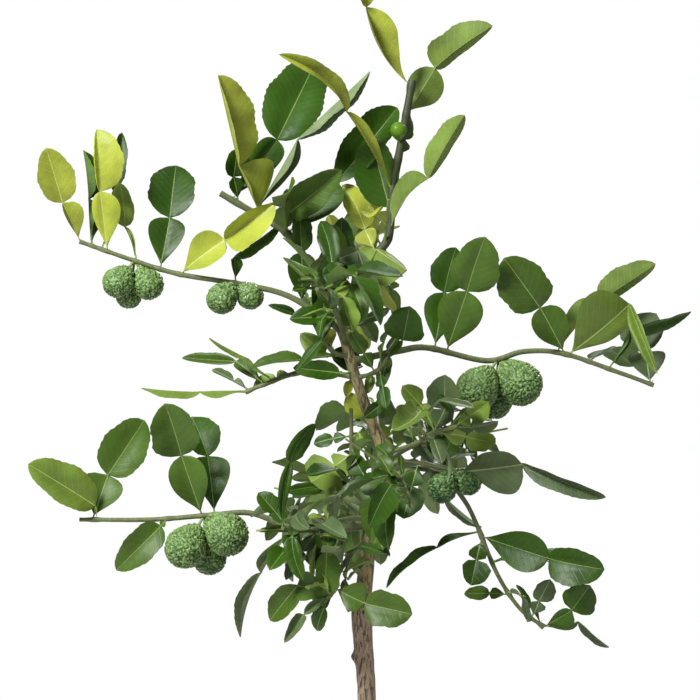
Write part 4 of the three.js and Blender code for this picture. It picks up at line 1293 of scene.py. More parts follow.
def lathe_mesh(name, outline, materials, sides, wobble=0.0):
    """A turned shape whose outline starts and ends on the axis."""
    turns = np.arange(sides) * 2 * math.pi / sides
    rings = outline[1:-1]
    radii = rings[:, 0][:, None] * (1 + wobble * np.sin(2 * turns + 0.6)[None, :])
    x = radii * np.cos(turns)
    y = radii * np.sin(turns)
    z = np.broadcast_to(rings[:, 1][:, None], x.shape)
    body = np.stack([x, y, z], axis=2).reshape(-1, 3)
    ends = np.array([[0, 0, outline[0][1]], [0, 0, outline[-1][1]]])
    points = np.concatenate([body, ends])
    hub = len(body)
    caps = [spokes(hub, 0, sides, False), spokes(hub + 1, hub - sides, sides, True)]
    parts = Parts()
    parts.add(points, [ring_faces(len(rings), sides), *caps])
    return parts.mesh(name, materials)


# Node trees
def sums(operation):
    """Two operators for a socket and another value: in this order, and the other way round."""

    def onward(self, other):
        return self.graph.math(operation, self, other)

    def reflected(self, other):
        return self.graph.math(operation, other, self)

    return onward, reflected


class Value:
    """A socket that takes part in sums, so that a pattern reads as an expression."""

    def __init__(self, graph, socket):
        self.graph = graph
        self.socket = socket

    __add__, __radd__ = sums("ADD")
    __sub__, __rsub__ = sums("SUBTRACT")
    __mul__, __rmul__ = sums("MULTIPLY")
    __truediv__, __rtruediv__ = sums("DIVIDE")

    def __abs__(self):
        return self.graph.math("ABSOLUTE", self)


class Graph:
    """A node tree, shader or geometry, built one node at a time."""

    def __init__(self, tree):
        self.tree = tree

    def node(self, kind, settings=None, inputs=None, output=0):
        made = self.tree.nodes.new(kind)
        for name, value in (settings or {}).items():
            setattr(made, name, value)
        for key, value in (inputs or {}).items():
            if isinstance(value, Value):
                self.tree.links.new(value.socket, made.inputs[key])
            elif value is not None:
                made.inputs[key].default_value = value
        return Value(self, made.outputs[output])

    def math(self, operation, first, second=None):
        return self.node("ShaderNodeMath", {"operation": operation}, {0: first, 1: second})

    def scaled(self, vector, scale):
        return self.node("ShaderNodeVectorMath", {"operation": "MULTIPLY"}, {0: vector, 1: scale})

    def combined(self, x, y, z):
        return self.node("ShaderNodeCombineXYZ", None, {0: x, 1: y, 2: z})

    def separated(self, vector, axis):
        return self.node("ShaderNodeSeparateXYZ", None, {0: vector}, axis)

    def smooth(self, value, low, high):
        return self.node(
            "ShaderNodeMapRange", {"interpolation_type": "SMOOTHSTEP"},
            {"Value": value, "From Min": low, "From Max": high},
        )

    def named(self, name):
        return self.node("GeometryNodeInputNamedAttribute", None, {"Name": name})

    def storing(self, shape, name, value):
        inputs = {"Geometry": shape, "Name": name, "Value": value}
        settings = {"data_type": "FLOAT", "domain": "POINT"}
        return self.node("GeometryNodeStoreNamedAttribute", settings, inputs)

    def carried(self, name):
        return self.node("ShaderNodeAttribute", {"attribute_name": name}, output=2)

    def noise(self, vector, scale, detail=2.0, rough=0.5):
        inputs = {"Vector": vector, "Scale": scale, "Detail": detail, "Roughness": rough}
        return self.node("ShaderNodeTexNoise", None, inputs)

    def mix(self, factor, first, second):
        first, second = (c if isinstance(c, Value) else (*c, 1.0) for c in (first, second))
        return self.node("ShaderNodeMix", {"data_type": "RGBA"}, {0: factor, 6: first, 7: second}, 2)


def shader(name, recipe, **constants):
    """A material from a recipe for its colour, roughness and relief, and plain numbers for the rest."""
    made = bpy.data.materials.new(name)
    made.use_nodes = True
    graph = Graph(made.node_tree)
    surface = made.node_tree.nodes["Principled BSDF"]
    place = graph.node("ShaderNodeTexCoord", output=3)
    colour, rough, relief, depth = recipe(graph, place)
    bump = graph.node("ShaderNodeBump", None, {"Height": relief, "Distance": depth})
    for key, value in {"Base Color": colour, "Roughness": rough, "Normal": bump}.items():
        made.node_tree.links.new(value.socket, surface.inputs[key])
    for key, value in constants.items():
        surface.inputs[key.replace("_", " ")].default_value = value
    return made


def geometry_tree(name, inputs):
    """An empty tree with a geometry input and these named inputs: (name, socket type, default)."""
    tree = bpy.data.node_groups.new(name, "GeometryNodeTree")
    tree.interface.new_socket("Geometry", in_out="OUTPUT", socket_type="NodeSocketGeometry")
    tree.interface.new_socket("Geometry", in_out="INPUT", socket_type="NodeSocketGeometry")
    for label, kind, default in inputs:
        socket = tree.interface.new_socket(label, in_out="INPUT", socket_type="NodeSocket" + kind)
        if default is not None:
            socket.default_value = default
    graph = Graph(tree)
    source = tree.nodes.new("NodeGroupInput")
    values = {socket.name: Value(graph, socket) for socket in source.outputs if socket.name}
    return tree, graph, values


def finish_tree(graph, shape, material):
    """Ends a tree as plain faces in one material."""
    plain = graph.node("GeometryNodeRealizeInstances", None, {"Geometry": shape})
    painted = graph.node("GeometryNodeSetMaterial", None, {"Geometry": plain, "Material": material})
    end = graph.tree.nodes.new("NodeGroupOutput")
    graph.tree.links.new(painted.socket, end.inputs[0])


TUBE_INPUTS = [
    ("Sides", "Int", 16), ("Furrow Depth", "Float", 0.0003), ("Furrows Around", "Float", 2.6),
    ("Furrows Along", "Float", 60.0), ("Bark", "Material", None),
]


def tube_inputs(*values):
    return {name: value for (name, _, _), value in zip(TUBE_INPUTS, values)}


def tube_tree():
    """Round limbs along runs of points, with furrows along them."""
    tree, graph, given = geometry_tree("round_limbs", TUBE_INPUTS)
    curve = graph.node("GeometryNodeMeshToCurve", None, {0: given["Geometry"]})
    radius = graph.named("radius")
    run = graph.node("GeometryNodeSplineParameter", output=1)
    order = graph.named("order")
    curve = graph.storing(curve, "run", run + order)
    circle = {"Resolution": given["Sides"], "Radius": 1.0}
    ring = graph.node("GeometryNodeCurvePrimitiveCircle", None, circle)
    around = graph.node("GeometryNodeSplineParameter")
    ring = graph.storing(ring, "around", around)
    tube = graph.node(
        "GeometryNodeCurveToMesh", None,
        {"Curve": curve, "Profile Curve": ring, "Scale": radius, "Fill Caps": True},
    )
    angle = graph.named("around") * (2 * math.pi)
    length = graph.named("run")
    across = given["Furrows Around"]
    place = graph.combined(
        graph.math("COSINE", angle) * across, graph.math("SINE", angle) * across,
        length * given["Furrows Along"],
    )
    furrow = graph.noise(place, 1.0, 3.0) - 0.5
    normal = graph.node("GeometryNodeInputNormal")
    offset = graph.node(
        "ShaderNodeVectorMath", {"operation": "SCALE"},
        {0: normal, "Scale": furrow * given["Furrow Depth"]},
    )
    shape = graph.node("GeometryNodeSetPosition", None, {"Geometry": tube, "Offset": offset})
    finish_tree(graph, shape, given["Bark"])
    return tree


def marks_tree(name, shape_of):
    """A small shape on each point, standing along the point's own way, at the point's own size."""
    tree, graph, given = geometry_tree(name, [("Slim", "Float", 0.4), ("Surface", "Material", None)])
    way = graph.node("GeometryNodeInputNamedAttribute", {"data_type": "FLOAT_VECTOR"}, {"Name": "way"})
    size = graph.named("size")
    turn = graph.node("FunctionNodeAlignRotationToVector", {"axis": "Z"}, {"Vector": way})
    girth = size * given["Slim"]
    set_on = graph.node(
        "GeometryNodeInstanceOnPoints", None,
        {
            "Points": given["Geometry"], "Instance": shape_of(graph), "Rotation": turn,
            "Scale": graph.combined(girth, girth, size),
        },
    )
    finish_tree(graph, set_on, given["Surface"])
    return tree


def thorn_shape(graph):
    cone = {"Vertices": 6, "Side Segments": 2, "Radius Bottom": 0.5, "Depth": 1.0}
    return graph.node("GeometryNodeMeshCone", None, cone)


def bud_shape(graph):
    ball = graph.node("GeometryNodeMeshUVSphere", None, {"Segments": 8, "Rings": 5, "Radius": 0.5})
    raised = {"Geometry": ball, "Translation": (0.0, 0.0, 0.4)}
    return graph.node("GeometryNodeTransform", None, raised)


CRUMB_INPUTS = [
    ("Per Square Metre", "Float", 5000.0), ("Smallest", "Float", 0.002), ("Largest", "Float", 0.008),
    ("Flatness", "Float", 0.35), ("Seed", "Int", 1), ("Surface", "Material", None),
]


def crumbs_tree():
    """Broken bits strewn on a surface, each with its own turn and size."""
    tree, graph, given = geometry_tree("strewn_bits", CRUMB_INPUTS)
    strewn = graph.node(
        "GeometryNodeDistributePointsOnFaces", None,
        {"Mesh": given["Geometry"], "Density": given["Per Square Metre"], "Seed": given["Seed"]},
    )
    bit = graph.node("GeometryNodeMeshIcoSphere", None, {"Radius": 0.5, "Subdivisions": 1})
    whole_turn = (2 * math.pi,) * 3
    turn = graph.node(
        "FunctionNodeRandomValue", {"data_type": "FLOAT_VECTOR"},
        {0: (0.0, 0.0, 0.0), 1: whole_turn, "Seed": given["Seed"]},
    )
    size = graph.node(
        "FunctionNodeRandomValue", {"data_type": "FLOAT"},
        {2: given["Smallest"], 3: given["Largest"], "Seed": given["Seed"]}, output=1,
    )
    scale = graph.combined(size, size * 0.7, size * given["Flatness"])
    set_on = graph.node(
        "GeometryNodeInstanceOnPoints", None,
        {"Points": strewn, "Instance": bit, "Rotation": turn, "Scale": scale},
    )
    finish_tree(graph, set_on, given["Surface"])
    return tree


# Colours and finishes
def linear(code):
    """Red, green and blue as light, from a #RRGGBB code."""
    parts = [int(code[i : i + 2], 16) / 255 for i in (1, 3, 5)]
    return tuple(part / 12.92 if part <= 0.04045 else ((part + 0.055) / 1.055) ** 2.4 for part in parts)


def colour_setting(name, description, code):
    return bpy.props.FloatVectorProperty(
        name=name, description=description, default=linear(code), size=3, min=0, max=1, subtype="COLOR",
    )


def length_setting(name, description, millimetres):
    return bpy.props.FloatProperty(
        name=name, description=description, default=millimetres * MM, min=0, unit="LENGTH",
    )


class LimeLeafSettings(bpy.types.PropertyGroup):
    young_top: colour_setting("Young Upper Side", "Newest leaves, from above", "#8E9834")
    young_under: colour_setting("Young Underside", "Newest leaves, from below", "#98A24A")
    bright_top: colour_setting("Bright Upper Side", "Leaves nearly grown, from above", "#627A2C")
    bright_under: colour_setting("Bright Underside", "Leaves nearly grown, from below", "#667C34")
    middle_top: colour_setting("Middle Upper Side", "Grown leaves, from above", "#3C5518")
    middle_under: colour_setting("Middle Underside", "Grown leaves, from below", "#5A7036")
    dark_top: colour_setting("Dark Upper Side", "Oldest leaves, from above", "#284604")
    dark_under: colour_setting("Dark Underside", "Oldest leaves, from below", "#4E6630")
    # Grey green leaves: a greyer green, partly the leaves' own colour and partly a painted sheen of white
    # light on the upper side
    grey_top: colour_setting("Grey Upper Side", "Bloomed leaves, from above", "#4A5B38")
    grey_under: colour_setting("Grey Underside", "Bloomed leaves, from below", "#6C7D57")
    rib: colour_setting("Midrib", "Midribs and leaf stalks", "#A9B86A")
    tone_spread: bpy.props.FloatProperty(
        name="Tone Spread", description="How much lighter or darker one leaf is than the next",
        default=0.34, min=0, max=1,
    )


class LimeWoodSettings(bpy.types.PropertyGroup):
    root_bark: colour_setting("Rootstock Bark", "Trunk below the graft", "#958270")
    trunk_bark: colour_setting("Trunk Bark", "Trunk above the graft", "#8A7D56")
    furrow: colour_setting("Furrows", "Cracks and scars in the bark", "#3A3024")
    bough_bark: colour_setting("Bough Bark", "Green wood of the boughs", "#4F5832")
    shoot: colour_setting("Leading Shoot", "Dark bark of the upright shoots", "#20260C")
    old_bough: colour_setting("Old Bough Bark", "Brown streaks on the boughs", "#4A402C")
    twig: colour_setting("Twigs", "Young twigs", "#6F8340")
    thorn: colour_setting("Thorns", "Thorns and buds", "#8A9150")
    sides: bpy.props.IntProperty(
        name="Bough Sides", description="Faces round a bough", default=LIMB_SIDES, min=6,
    )
    furrow_depth: length_setting("Furrow Depth", "Relief of the bark on a bough", 0.45)


class LimeFruitSettings(bpy.types.PropertyGroup):
    ridge: colour_setting("Ridges", "Backs of the ridges on the rind", "#769454")
    # The crease colour: partly the rind's own darker green, partly painted shade in the creases
    crease: colour_setting("Creases", "Creases between the ridges", "#0E3A12")
    young: colour_setting("Young Rind", "Smooth rind of the youngest fruit", "#547A12")


class LimePotSettings(bpy.types.PropertyGroup):
    clay: colour_setting("Clay", "Fired clay", "#B0684A")
    clay_dark: colour_setting("Damp Clay", "Clay where it is damp", "#8C4B34")
    salts: colour_setting("Salts", "Pale bloom at the rim and the foot", "#CDB6A2")
    soil: colour_setting("Soil", "Moist potting mix", "#35271C")
    chip: colour_setting("Bark Chips", "Chips of bark on the soil", "#5A4130")
    chip_size: length_setting("Chip Size", "Length of the largest bark chips", 17)
    chips_each: bpy.props.FloatProperty(
        name="Chips", description="Bark chips on a square metre", default=9000, min=0,
    )


class LimeStageSettings(bpy.types.PropertyGroup):
    floor: colour_setting("Floor", "Pale floor", "#DEDCD8")
    floor_radius: length_setting("Floor Radius", "Radius of the round floor", 1600)
    eye_distance: length_setting("Eye Distance", "From the trunk to the camera", 3200)
    eye_height: length_setting("Eye Height", "Height of the level camera", 740)
    frame_width: length_setting("Frame Width", "Width of the view at the trunk", 770)


def toned(colour, share, more=0.0):
    """A colour made darker or lighter by a share, and paler by a little more of each part."""
    return [part * share + more for part in colour]


def leaf_material(name, top, spread, rough):
    """A veined, slightly mottled leaf side, each leaf in its own tone."""

    def recipe(graph, place):
        flat = graph.node("ShaderNodeUVMap", {"uv_map": SURFACE_MAP})
        across = abs(graph.separated(flat, 0))
        along = graph.separated(flat, 1)
        tone = graph.carried("tone")
        bend = graph.noise(place, 60.0) * 0.5
        lane = (along - across * VEIN_SLOPE) / (VEIN_GAP / 10) + bend
        vein = 1 - graph.smooth(abs(graph.math("PINGPONG", lane, 0.5)), 0.0, 0.09)
        mottle = graph.noise(place, 32.0, 5.0)
        fine = graph.noise(place, 900.0, 2.0)
        light = (tone - 0.5) * spread + (mottle - 0.5) * 1.0 + (fine - 0.5) * 0.2
        shade = graph.smooth(light, -0.32, 0.32)
        colour = graph.mix(shade, toned(top, 0.72), toned(top, 1.3))
        warm = (top[0] * 1.2, top[1] * 1.08, top[2] * 0.7)
        colour = graph.mix(graph.smooth(graph.noise(place, 14.0), 0.5, 0.75) * 0.5, colour, warm)
        colour = graph.mix(vein * 0.32, colour, toned(top, 1.25, 0.035))
        height = fine * 0.03 - vein * 0.2 + graph.noise(place, 95.0, 1.0) * 1.7
        sheen = graph.smooth(mottle, 0.2, 0.8) * 0.14 + rough
        return colour, sheen, height, 0.00035

    return shader(name, recipe, Specular_IOR_Level=0.24)


def streaked_material(name, low, high, dark, scale, rough, shaded=None):
    """Wood with long streaks and small scars, darker where the mesh says so."""

    def recipe(graph, place):
        long = graph.scaled(place, (scale, scale, scale * 0.22))
        streak = graph.noise(long, 1.0, 4.0, 0.6)
        scar = graph.smooth(graph.noise(place, scale * 1.6, 2.0), 0.6, 0.72)
        colour = graph.mix(graph.smooth(streak, 0.3, 0.7), low, high)
        colour = graph.mix(scar * 0.55, colour, dark)
        if shaded:
            shade = graph.carried("shade")
            colour = graph.mix(shade, colour, shaded)
        height = streak * 0.7 - scar * 0.5 + graph.noise(place, 700.0) * 0.3
        return colour, streak * 0.15 + rough, height, 0.0005

    return shader(name, recipe)


def trunk_material(wood):
    """Brown cracked bark below the graft, smoother tan and green bark above it."""

    def recipe(graph, place):
        height = graph.separated(place, 2)
        long = graph.scaled(place, (420.0, 420.0, 80.0))
        streak = graph.noise(long, 1.0, 4.0, 0.6)
        plates = graph.noise(graph.scaled(place, (120.0, 120.0, 60.0)), 1.0, 5.0, 0.65)
        wander = (graph.noise(place, 30.0) - 0.5) * 0.05
        graft = SOIL_TOP + GRAFT_HEIGHT
        above = graph.smooth(height + wander, (graft - 12) * MM, (graft + 25) * MM)
        colour = graph.mix(above, wood.root_bark, wood.trunk_bark)
        pale = toned(wood.trunk_bark, 1.5, 0.02)
        colour = graph.mix(graph.smooth(plates, 0.48, 0.72) * 0.55, colour, pale)
        green = graph.smooth(graph.noise(place, 22.0, 3.0), 0.5, 0.66) * above * 0.5
        colour = graph.mix(green, colour, wood.bough_bark)
        crack = graph.smooth(streak, 0.5, 0.64)
        colour = graph.mix(crack * 0.8, colour, wood.furrow)
        pore = graph.smooth(graph.noise(graph.scaled(place, (300.0, 300.0, 520.0)), 1.0, 2.0), 0.62, 0.74)
        colour = graph.mix(pore * 0.5, colour, pale)
        relief = plates * 0.8 - crack * 1.1 + pore * 0.4 + graph.noise(place, 900.0) * 0.35
        return colour, plates * 0.2 + 0.62, relief, 0.0012

    return shader("trunk_bark_finish", recipe)


def rind_material(fruit):
    """Light ridges and darker creases, told by the tone that the mesh carries: the rind's height, less
    its painted shade. The crease colour is partly the rind's own darker green and partly painted shade.
    """

    def recipe(graph, place):
        height = graph.carried("tone")
        mottle = graph.noise(place, 160.0, 3.0)
        dots = graph.node("ShaderNodeTexVoronoi", None, {"Vector": place, "Scale": 1100.0})
        pit = 1 - graph.smooth(dots, 0.1, 0.42)
        # The tone mixes ridge and crease colours; its low values include the painted shade of the fruit
        # and of its underside
        back = graph.smooth(height + (mottle - 0.5) * 0.3, -0.3, 1.0)
        colour = graph.mix(back, fruit.crease, fruit.ridge)
        colour = graph.mix(graph.smooth(height, 1.3, 1.6), colour, fruit.young)
        colour = graph.mix(pit * 0.22, colour, fruit.crease)
        relief = mottle * 0.5 - pit * 0.7
        return colour, mottle * 0.12 + 0.26, relief, 0.0004

    return shader("rind_finish", recipe, Specular_IOR_Level=0.34)


def clay_material(pot):
    """Fired clay with turning lines, damp patches and a bloom of salts."""

    def recipe(graph, place):
        height = graph.separated(place, 2)
        turning = graph.noise(graph.scaled(place, (9.0, 9.0, 420.0)), 1.0, 2.0)
        cloud = graph.noise(place, 11.0, 5.0, 0.6)
        grain = graph.noise(place, 900.0, 2.0)
        colour = graph.mix(graph.smooth(cloud, 0.38, 0.68), pot.clay, pot.clay_dark)
        rim_low = (POT_HEIGHT - POT_RIM_HEIGHT) * MM
        near_foot = 1 - graph.smooth(height, 0.0, 0.07)
        near_rim = graph.smooth(height, rim_low, POT_HEIGHT * MM) * 0.6
        patchy = graph.noise(place, 26.0, 6.0, 0.7)
        bloom = graph.smooth(patchy + near_foot * 0.14 + near_rim * 0.14, 0.55, 0.72)
        colour = graph.mix(bloom * 0.6, colour, pot.salts)
        colour = graph.mix(graph.smooth(grain, 0.58, 0.74) * 0.25, colour, toned(pot.clay, 1.35))
        relief = turning * 0.7 + grain * 0.35 + bloom * 0.3
        return colour, cloud * 0.15 + 0.74, relief, 0.0005

    return shader("clay_finish", recipe)


def crumb_material(name, low, high, scale, rough=0.85):
    """Crumbly or fibrous stuff in two mingled colours."""

    def recipe(graph, place):
        coarse = graph.noise(place, scale, 5.0, 0.65)
        fine = graph.noise(place, scale * 7, 3.0)
        colour = graph.mix(graph.smooth(coarse + (fine - 0.5) * 0.3, 0.35, 0.65), low, high)
        return colour, coarse * 0.15 + rough - 0.1, coarse + fine * 0.5, 0.0015

    return shader(name, recipe)


# The whole plant's growth, worked out once and shared by the pieces
def grown_limbs():
    grown = [limb_of(row) for row in LIMBS]
    for limb in grown:
        grow(limb)
    solids = surface_of([*MASSES, *BOUGHS, "trunk"])
    for limb in grown:
        grow_spurs(limb, solids, [np.array(corner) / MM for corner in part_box(limb.node)])
    return grown


limbs = grown_limbs()


def pot_inside(height):
    slope = (POT_UNDER_RIM - POT_BASE) / (POT_HEIGHT - POT_RIM_HEIGHT)
    return POT_BASE + slope * height - POT_WALL


class LIME_OT_pot(bpy.types.Operator):
    """Turn the clay pot, with its rim, rounded edges and drain holes"""

    bl_idname = "lime.make_pot"
    bl_label = "Make Pot"

    def execute(self, context):
        settings = context.scene.lime_pot
        rim_foot = POT_HEIGHT - POT_RIM_HEIGHT
        outline = rounded(
            [
                [0, 0, 0], [POT_BASE, 0, 4], [POT_UNDER_RIM, rim_foot, 2.5],
                [POT_RIM - 1.5, rim_foot + 1, 3.5], [POT_RIM, POT_HEIGHT, 5],
                [POT_RIM - POT_WALL - 3, POT_HEIGHT, 5],
                [pot_inside(rim_foot + 6) + 2, rim_foot + 14, 3], [pot_inside(POT_FLOOR), POT_FLOOR, 8],
                [0, POT_FLOOR, 0],
            ]
        )
        clay = clay_material(settings)
        pot = linked("pot_blank", lathe_mesh("pot_blank", outline, [clay], POT_SIDES, POT_WOBBLE))
        drills = bmesh.new()
        for i in range(DRAINS):
            angle = 2 * math.pi * (i + 0.5) / DRAINS
            centre = Vector((math.cos(angle), math.sin(angle), 0)) * DRAIN_OFFSET * MM
            made = bmesh.ops.create_cone(
                drills, cap_ends=True, segments=DRAIN_SIDES, radius1=DRAIN_RADIUS * MM,
                radius2=DRAIN_RADIUS * MM, depth=3 * POT_FLOOR * MM,
            )
            bmesh.ops.translate(drills, verts=made["verts"], vec=centre)
        drill_mesh = bpy.data.meshes.new("drills")
        drills.to_mesh(drill_mesh)
        drills.free()
        drill = linked("drills", drill_mesh)
        cut = pot.modifiers.new("drains", "BOOLEAN")
        cut.operation = "DIFFERENCE"
        cut.object = drill
        shell = applied(pot, "pot_shell")
        bpy.data.objects.remove(drill)
        shell.set_sharp_from_angle(angle=POT_SHARP)
        piece_from(shell, "pot", "pot")
        return {"FINISHED"}


class LIME_OT_soil(bpy.types.Operator):
    """Fill the pot with potting mix, strewn with bark chips and perlite"""

    bl_idname = "lime.fill_soil"
    bl_label = "Fill Soil"

    def execute(self, context):
        settings = context.scene.lime_pot
        earth = crumb_material("soil_finish", toned(settings.soil, 0.6), settings.soil, 260.0)
        shoulder = POT_HEIGHT - POT_RIM_HEIGHT + 6
        edge = pot_inside(shoulder) + 1.2
        outline = [[0, POT_FLOOR + 0.5], [pot_inside(POT_FLOOR) - BED_GAP, POT_FLOOR + 0.5]]
        outline += [[pot_inside(shoulder) - BED_GAP, shoulder], [edge, SOIL_TOP - 2]]
        outline += [[edge * share, SOIL_TOP - 1] for share in np.linspace(0.985, 0.02, BED_RINGS)]
        outline.append([0, SOIL_TOP - 1])
        bed = lathe_mesh("soil_bed", np.array(outline, float), [earth], BED_SIDES)
        for vertex in bed.vertices:
            x, y, z = vertex.co
            if z > (SOIL_TOP - 3) * MM:
                lumps = noise.fractal(Vector((x, y, 0)) * 90, 1, 2, 4)
                heap = math.exp(-((math.hypot(x, y) / HEAP_RUN) ** 2)) * LUMP
                least, most = LUMP_LIMITS
                vertex.co.z = z + min(most, max(least, lumps * LUMP)) + heap
        piece_from(bed, "soil", "soil")
        radius = pot_inside(shoulder) - PATCH_GAP
        bark = crumb_material("chip_finish", toned(settings.chip, 0.55), settings.chip, 420.0)
        size = settings.chip_size
        scatter_on_soil("soil_chips", radius, settings.chips_each, size * 0.3, size, *CHIPS, bark)
        pale = crumb_material("perlite_finish", (0.5, 0.48, 0.44), (0.8, 0.79, 0.76), 700.0)
        scatter_on_soil("soil_perlite", radius, *PERLITE, pale)
        return {"FINISHED"}


def scatter_on_soil(name, radius, *values):
    """Strews bits on a flat ring over the soil, with the values that CRUMB_INPUTS names."""
    flat = bpy.data.meshes.new(name + "_patch")
    turns = np.arange(PATCH_SIDES) * 2 * math.pi / PATCH_SIDES
    outer = np.stack([np.cos(turns) * radius, np.sin(turns) * radius], axis=1)
    points = [(x * MM, y * MM, SOIL_TOP * MM) for x, y in [*outer, *(outer * PATCH_HOLE)]]
    flat.from_pydata(points, [], ring_faces(2, PATCH_SIDES).tolist())
    source = linked(name + "_patch", flat)
    inputs = {label: value for (label, _, _), value in zip(CRUMB_INPUTS, values)}
    piece_from(grown_mesh(source, crumbs_tree(), inputs, name), "soil", "soil")


class LIME_OT_trunk(bpy.types.Operator):
    """Grow the trunk with its graft, knots and cracked bark"""

    bl_idname = "lime.grow_trunk"
    bl_label = "Grow Trunk"

    def execute(self, context):
        bark = trunk_material(context.scene.lime_wood)
        piece_from(trunk_mesh([bark]), "bark", "trunk")
        return {"FINISHED"}


class LIME_OT_boughs(bpy.types.Operator):
    """Grow each bough from inside the trunk to its tip"""

    bl_idname = "lime.grow_boughs"
    bl_label = "Grow Boughs"

    def execute(self, context):
        wood = context.scene.lime_wood
        pale = toned(wood.bough_bark, 1.5)
        bark = streaked_material(
            "bough_finish", wood.bough_bark, pale, wood.old_bough, 210.0, 0.5, wood.shoot,
        )
        paths = [limb_path(limb) for limb in limbs]
        source = paths_object("bough_paths", paths, [limb.shade for limb in limbs])
        inputs = tube_inputs(wood.sides, wood.furrow_depth, 2.6, 70.0, bark)
        piece_from(grown_mesh(source, tube_tree(), inputs, "bough_bark"), "green_bark", *BOUGHS)
        return {"FINISHED"}


class LIME_OT_twigs(bpy.types.Operator):
    """Grow the side twigs, short shoots and fruit stalks"""

    bl_idname = "lime.grow_twigs"
    bl_label = "Grow Twigs"

    def execute(self, context):
        wood = context.scene.lime_wood
        skin = streaked_material(
            "twig_finish", wood.twig, toned(wood.twig, 1.35), wood.old_bough, 420.0, 0.42,
        )
        paths = []
        for limb in limbs:
            for twig in limb.side_twigs:
                paths.append(line_path(twig.start, twig.end, TWIG_RADII))
            for spur in limb.spurs:
                paths.append(line_path(spur.start, spur.end, SPUR_RADII))
            for fruit in limb.fruits:
                top = fruit.centre + fruit.axis * fruit.radius * (0.9 + FRUIT_NECK_RISE)
                paths.append(line_path(fruit.start, top, FRUIT_STALK, bow=1.0))
                if fruit.radius > SMOOTH_UNDER:
                    paths.append(line_path(top + fruit.axis * 2, top - fruit.axis * 1.5, CALYX, step=0.6))
        source = paths_object("twig_paths", paths)
        inputs = tube_inputs(TWIG_SIDES, 0.0002, 2.2, 110.0, skin)
        piece_from(grown_mesh(source, tube_tree(), inputs, "twigs"), "green_bark", *MASSES)
        return {"FINISHED"}


class LIME_OT_leaves(bpy.types.Operator):
    """Grow the double leaves, joined by their tint"""

    bl_idname = "lime.grow_leaves"
    bl_label = "Grow Leaves"

    def execute(self, context):
        looks = context.scene.lime_leaves
        leaves = [(leaf, limb) for limb in limbs for leaf in limb.leaves]
        for letter, tint in TINTS.items():
            top = tuple(getattr(looks, tint + "_top"))
            under = tuple(getattr(looks, tint + "_under"))
            parts = Parts()
            for leaf, limb in leaves:
                if leaf.tint.lower() == letter:
                    parts.add(*leaf_shell(leaf, style_of(limb.style, letter, leaf.facing)))
            rough = GREY_ROUGH if letter == "g" else TOP_ROUGH
            share = 0.45 if letter in "yb" else 0.16
            pale = [(1 - share) * a + share * b for a, b in zip(under, looks.rib)]
            rib = streaked_material(tint + "_rib", pale, toned(pale, 1.2), pale, 500.0, 0.4)
            skins = [
                leaf_material(tint + "_leaf_top", top, looks.tone_spread, rough), rib,
                leaf_material(tint + "_leaf_under", under, looks.tone_spread * 0.6, UNDER_ROUGH),
            ]
            mesh = parts.mesh("leaves_" + tint, skins)
            mesh.set_sharp_from_angle(angle=LEAF_SHARP)
            piece_from(mesh, "leaf", *MASSES)
        return {"FINISHED"}


class LIME_OT_buds(bpy.types.Operator):
    """Set a bud where each leaf leaves its twig, and a thorn by some of them"""

    bl_idname = "lime.set_buds"
    bl_label = "Set Buds and Thorns"

    def execute(self, context):
        wood = context.scene.lime_wood
        buds = []
        thorns = []
        for limb in limbs:
            random = Seed(limb.seed + 2000)
            for leaf in limb.leaves:
                along = unit(leaf.axis + UP * 0.6)
                foot = leaf.base + leaf.axis * (leaf.stalk - STALK_SHOWS) * 0.8
                buds.append(SimpleNamespace(at=foot, way=along, size=random.span(BUD_SIZE)))
                aside = unit(np.cross(leaf.axis, UP) + UP * 0.35 + leaf.axis * 0.6)
                if random.next() < THORN_EVERY:
                    size = random.span(THORN_LENGTH)
                    thorns.append(SimpleNamespace(at=leaf.base, way=aside, size=size))
        brown = toned(wood.thorn, 0.6)
        bud_skin = crumb_material("bud_finish", wood.twig, wood.thorn, 900.0, 0.5)
        thorn_skin = crumb_material("thorn_finish", wood.thorn, brown, 300.0, 0.45)
        kinds = [
            ("buds", buds, bud_shape, 0.62, bud_skin), ("thorns", thorns, thorn_shape, 0.16, thorn_skin),
        ]
        for name, marks, shape_of, slim, skin in kinds:
            source = marks_object(name + "_marks", marks)
            tree = marks_tree(name + "_on_marks", shape_of)
            mesh = grown_mesh(source, tree, {"Slim": slim, "Surface": skin}, name)
            piece_from(mesh, "green_bark", *MASSES)
        return {"FINISHED"}


class LIME_OT_fruit(bpy.types.Operator):
    """Hang the wrinkled limes on their stalks"""

    bl_idname = "lime.hang_fruit"
    bl_label = "Hang Fruit"

    def execute(self, context):
        looks = context.scene.lime_fruit
        noise.seed_set(RIND_SEED)
        rinds = Parts()
        for limb in limbs:
            for fruit in limb.fruits:
                fine = round(fruit.radius * FRUIT_AROUND)
                around = SMOOTH_AROUND if fruit.radius < SMOOTH_UNDER else fine
                rinds.add(*fruit_shell(fruit, around, around * 5 // 8))
        piece_from(rinds.mesh("fruit_rind", [rind_material(looks)]), "fruit", *MASSES)
        return {"FINISHED"}


def studio_world(above, below):
    """A plain white backdrop, with softer light coming from above and from below."""
    world = bpy.data.worlds.new("studio")
    world.use_nodes = True
    graph = Graph(world.node_tree)
    way = graph.node("ShaderNodeTexCoord", output=0)
    light = graph.smooth(graph.separated(way, 2), -0.6, 0.8) * (above - below) + below
    seen = graph.node("ShaderNodeLightPath")
    strength = seen + (1 - seen) * light
    world.node_tree.links.new(strength.socket, world.node_tree.nodes["Background"].inputs["Strength"])
    world.node_tree.nodes["Background"].inputs["Color"].default_value = (1, 1, 1, 1)
    return world


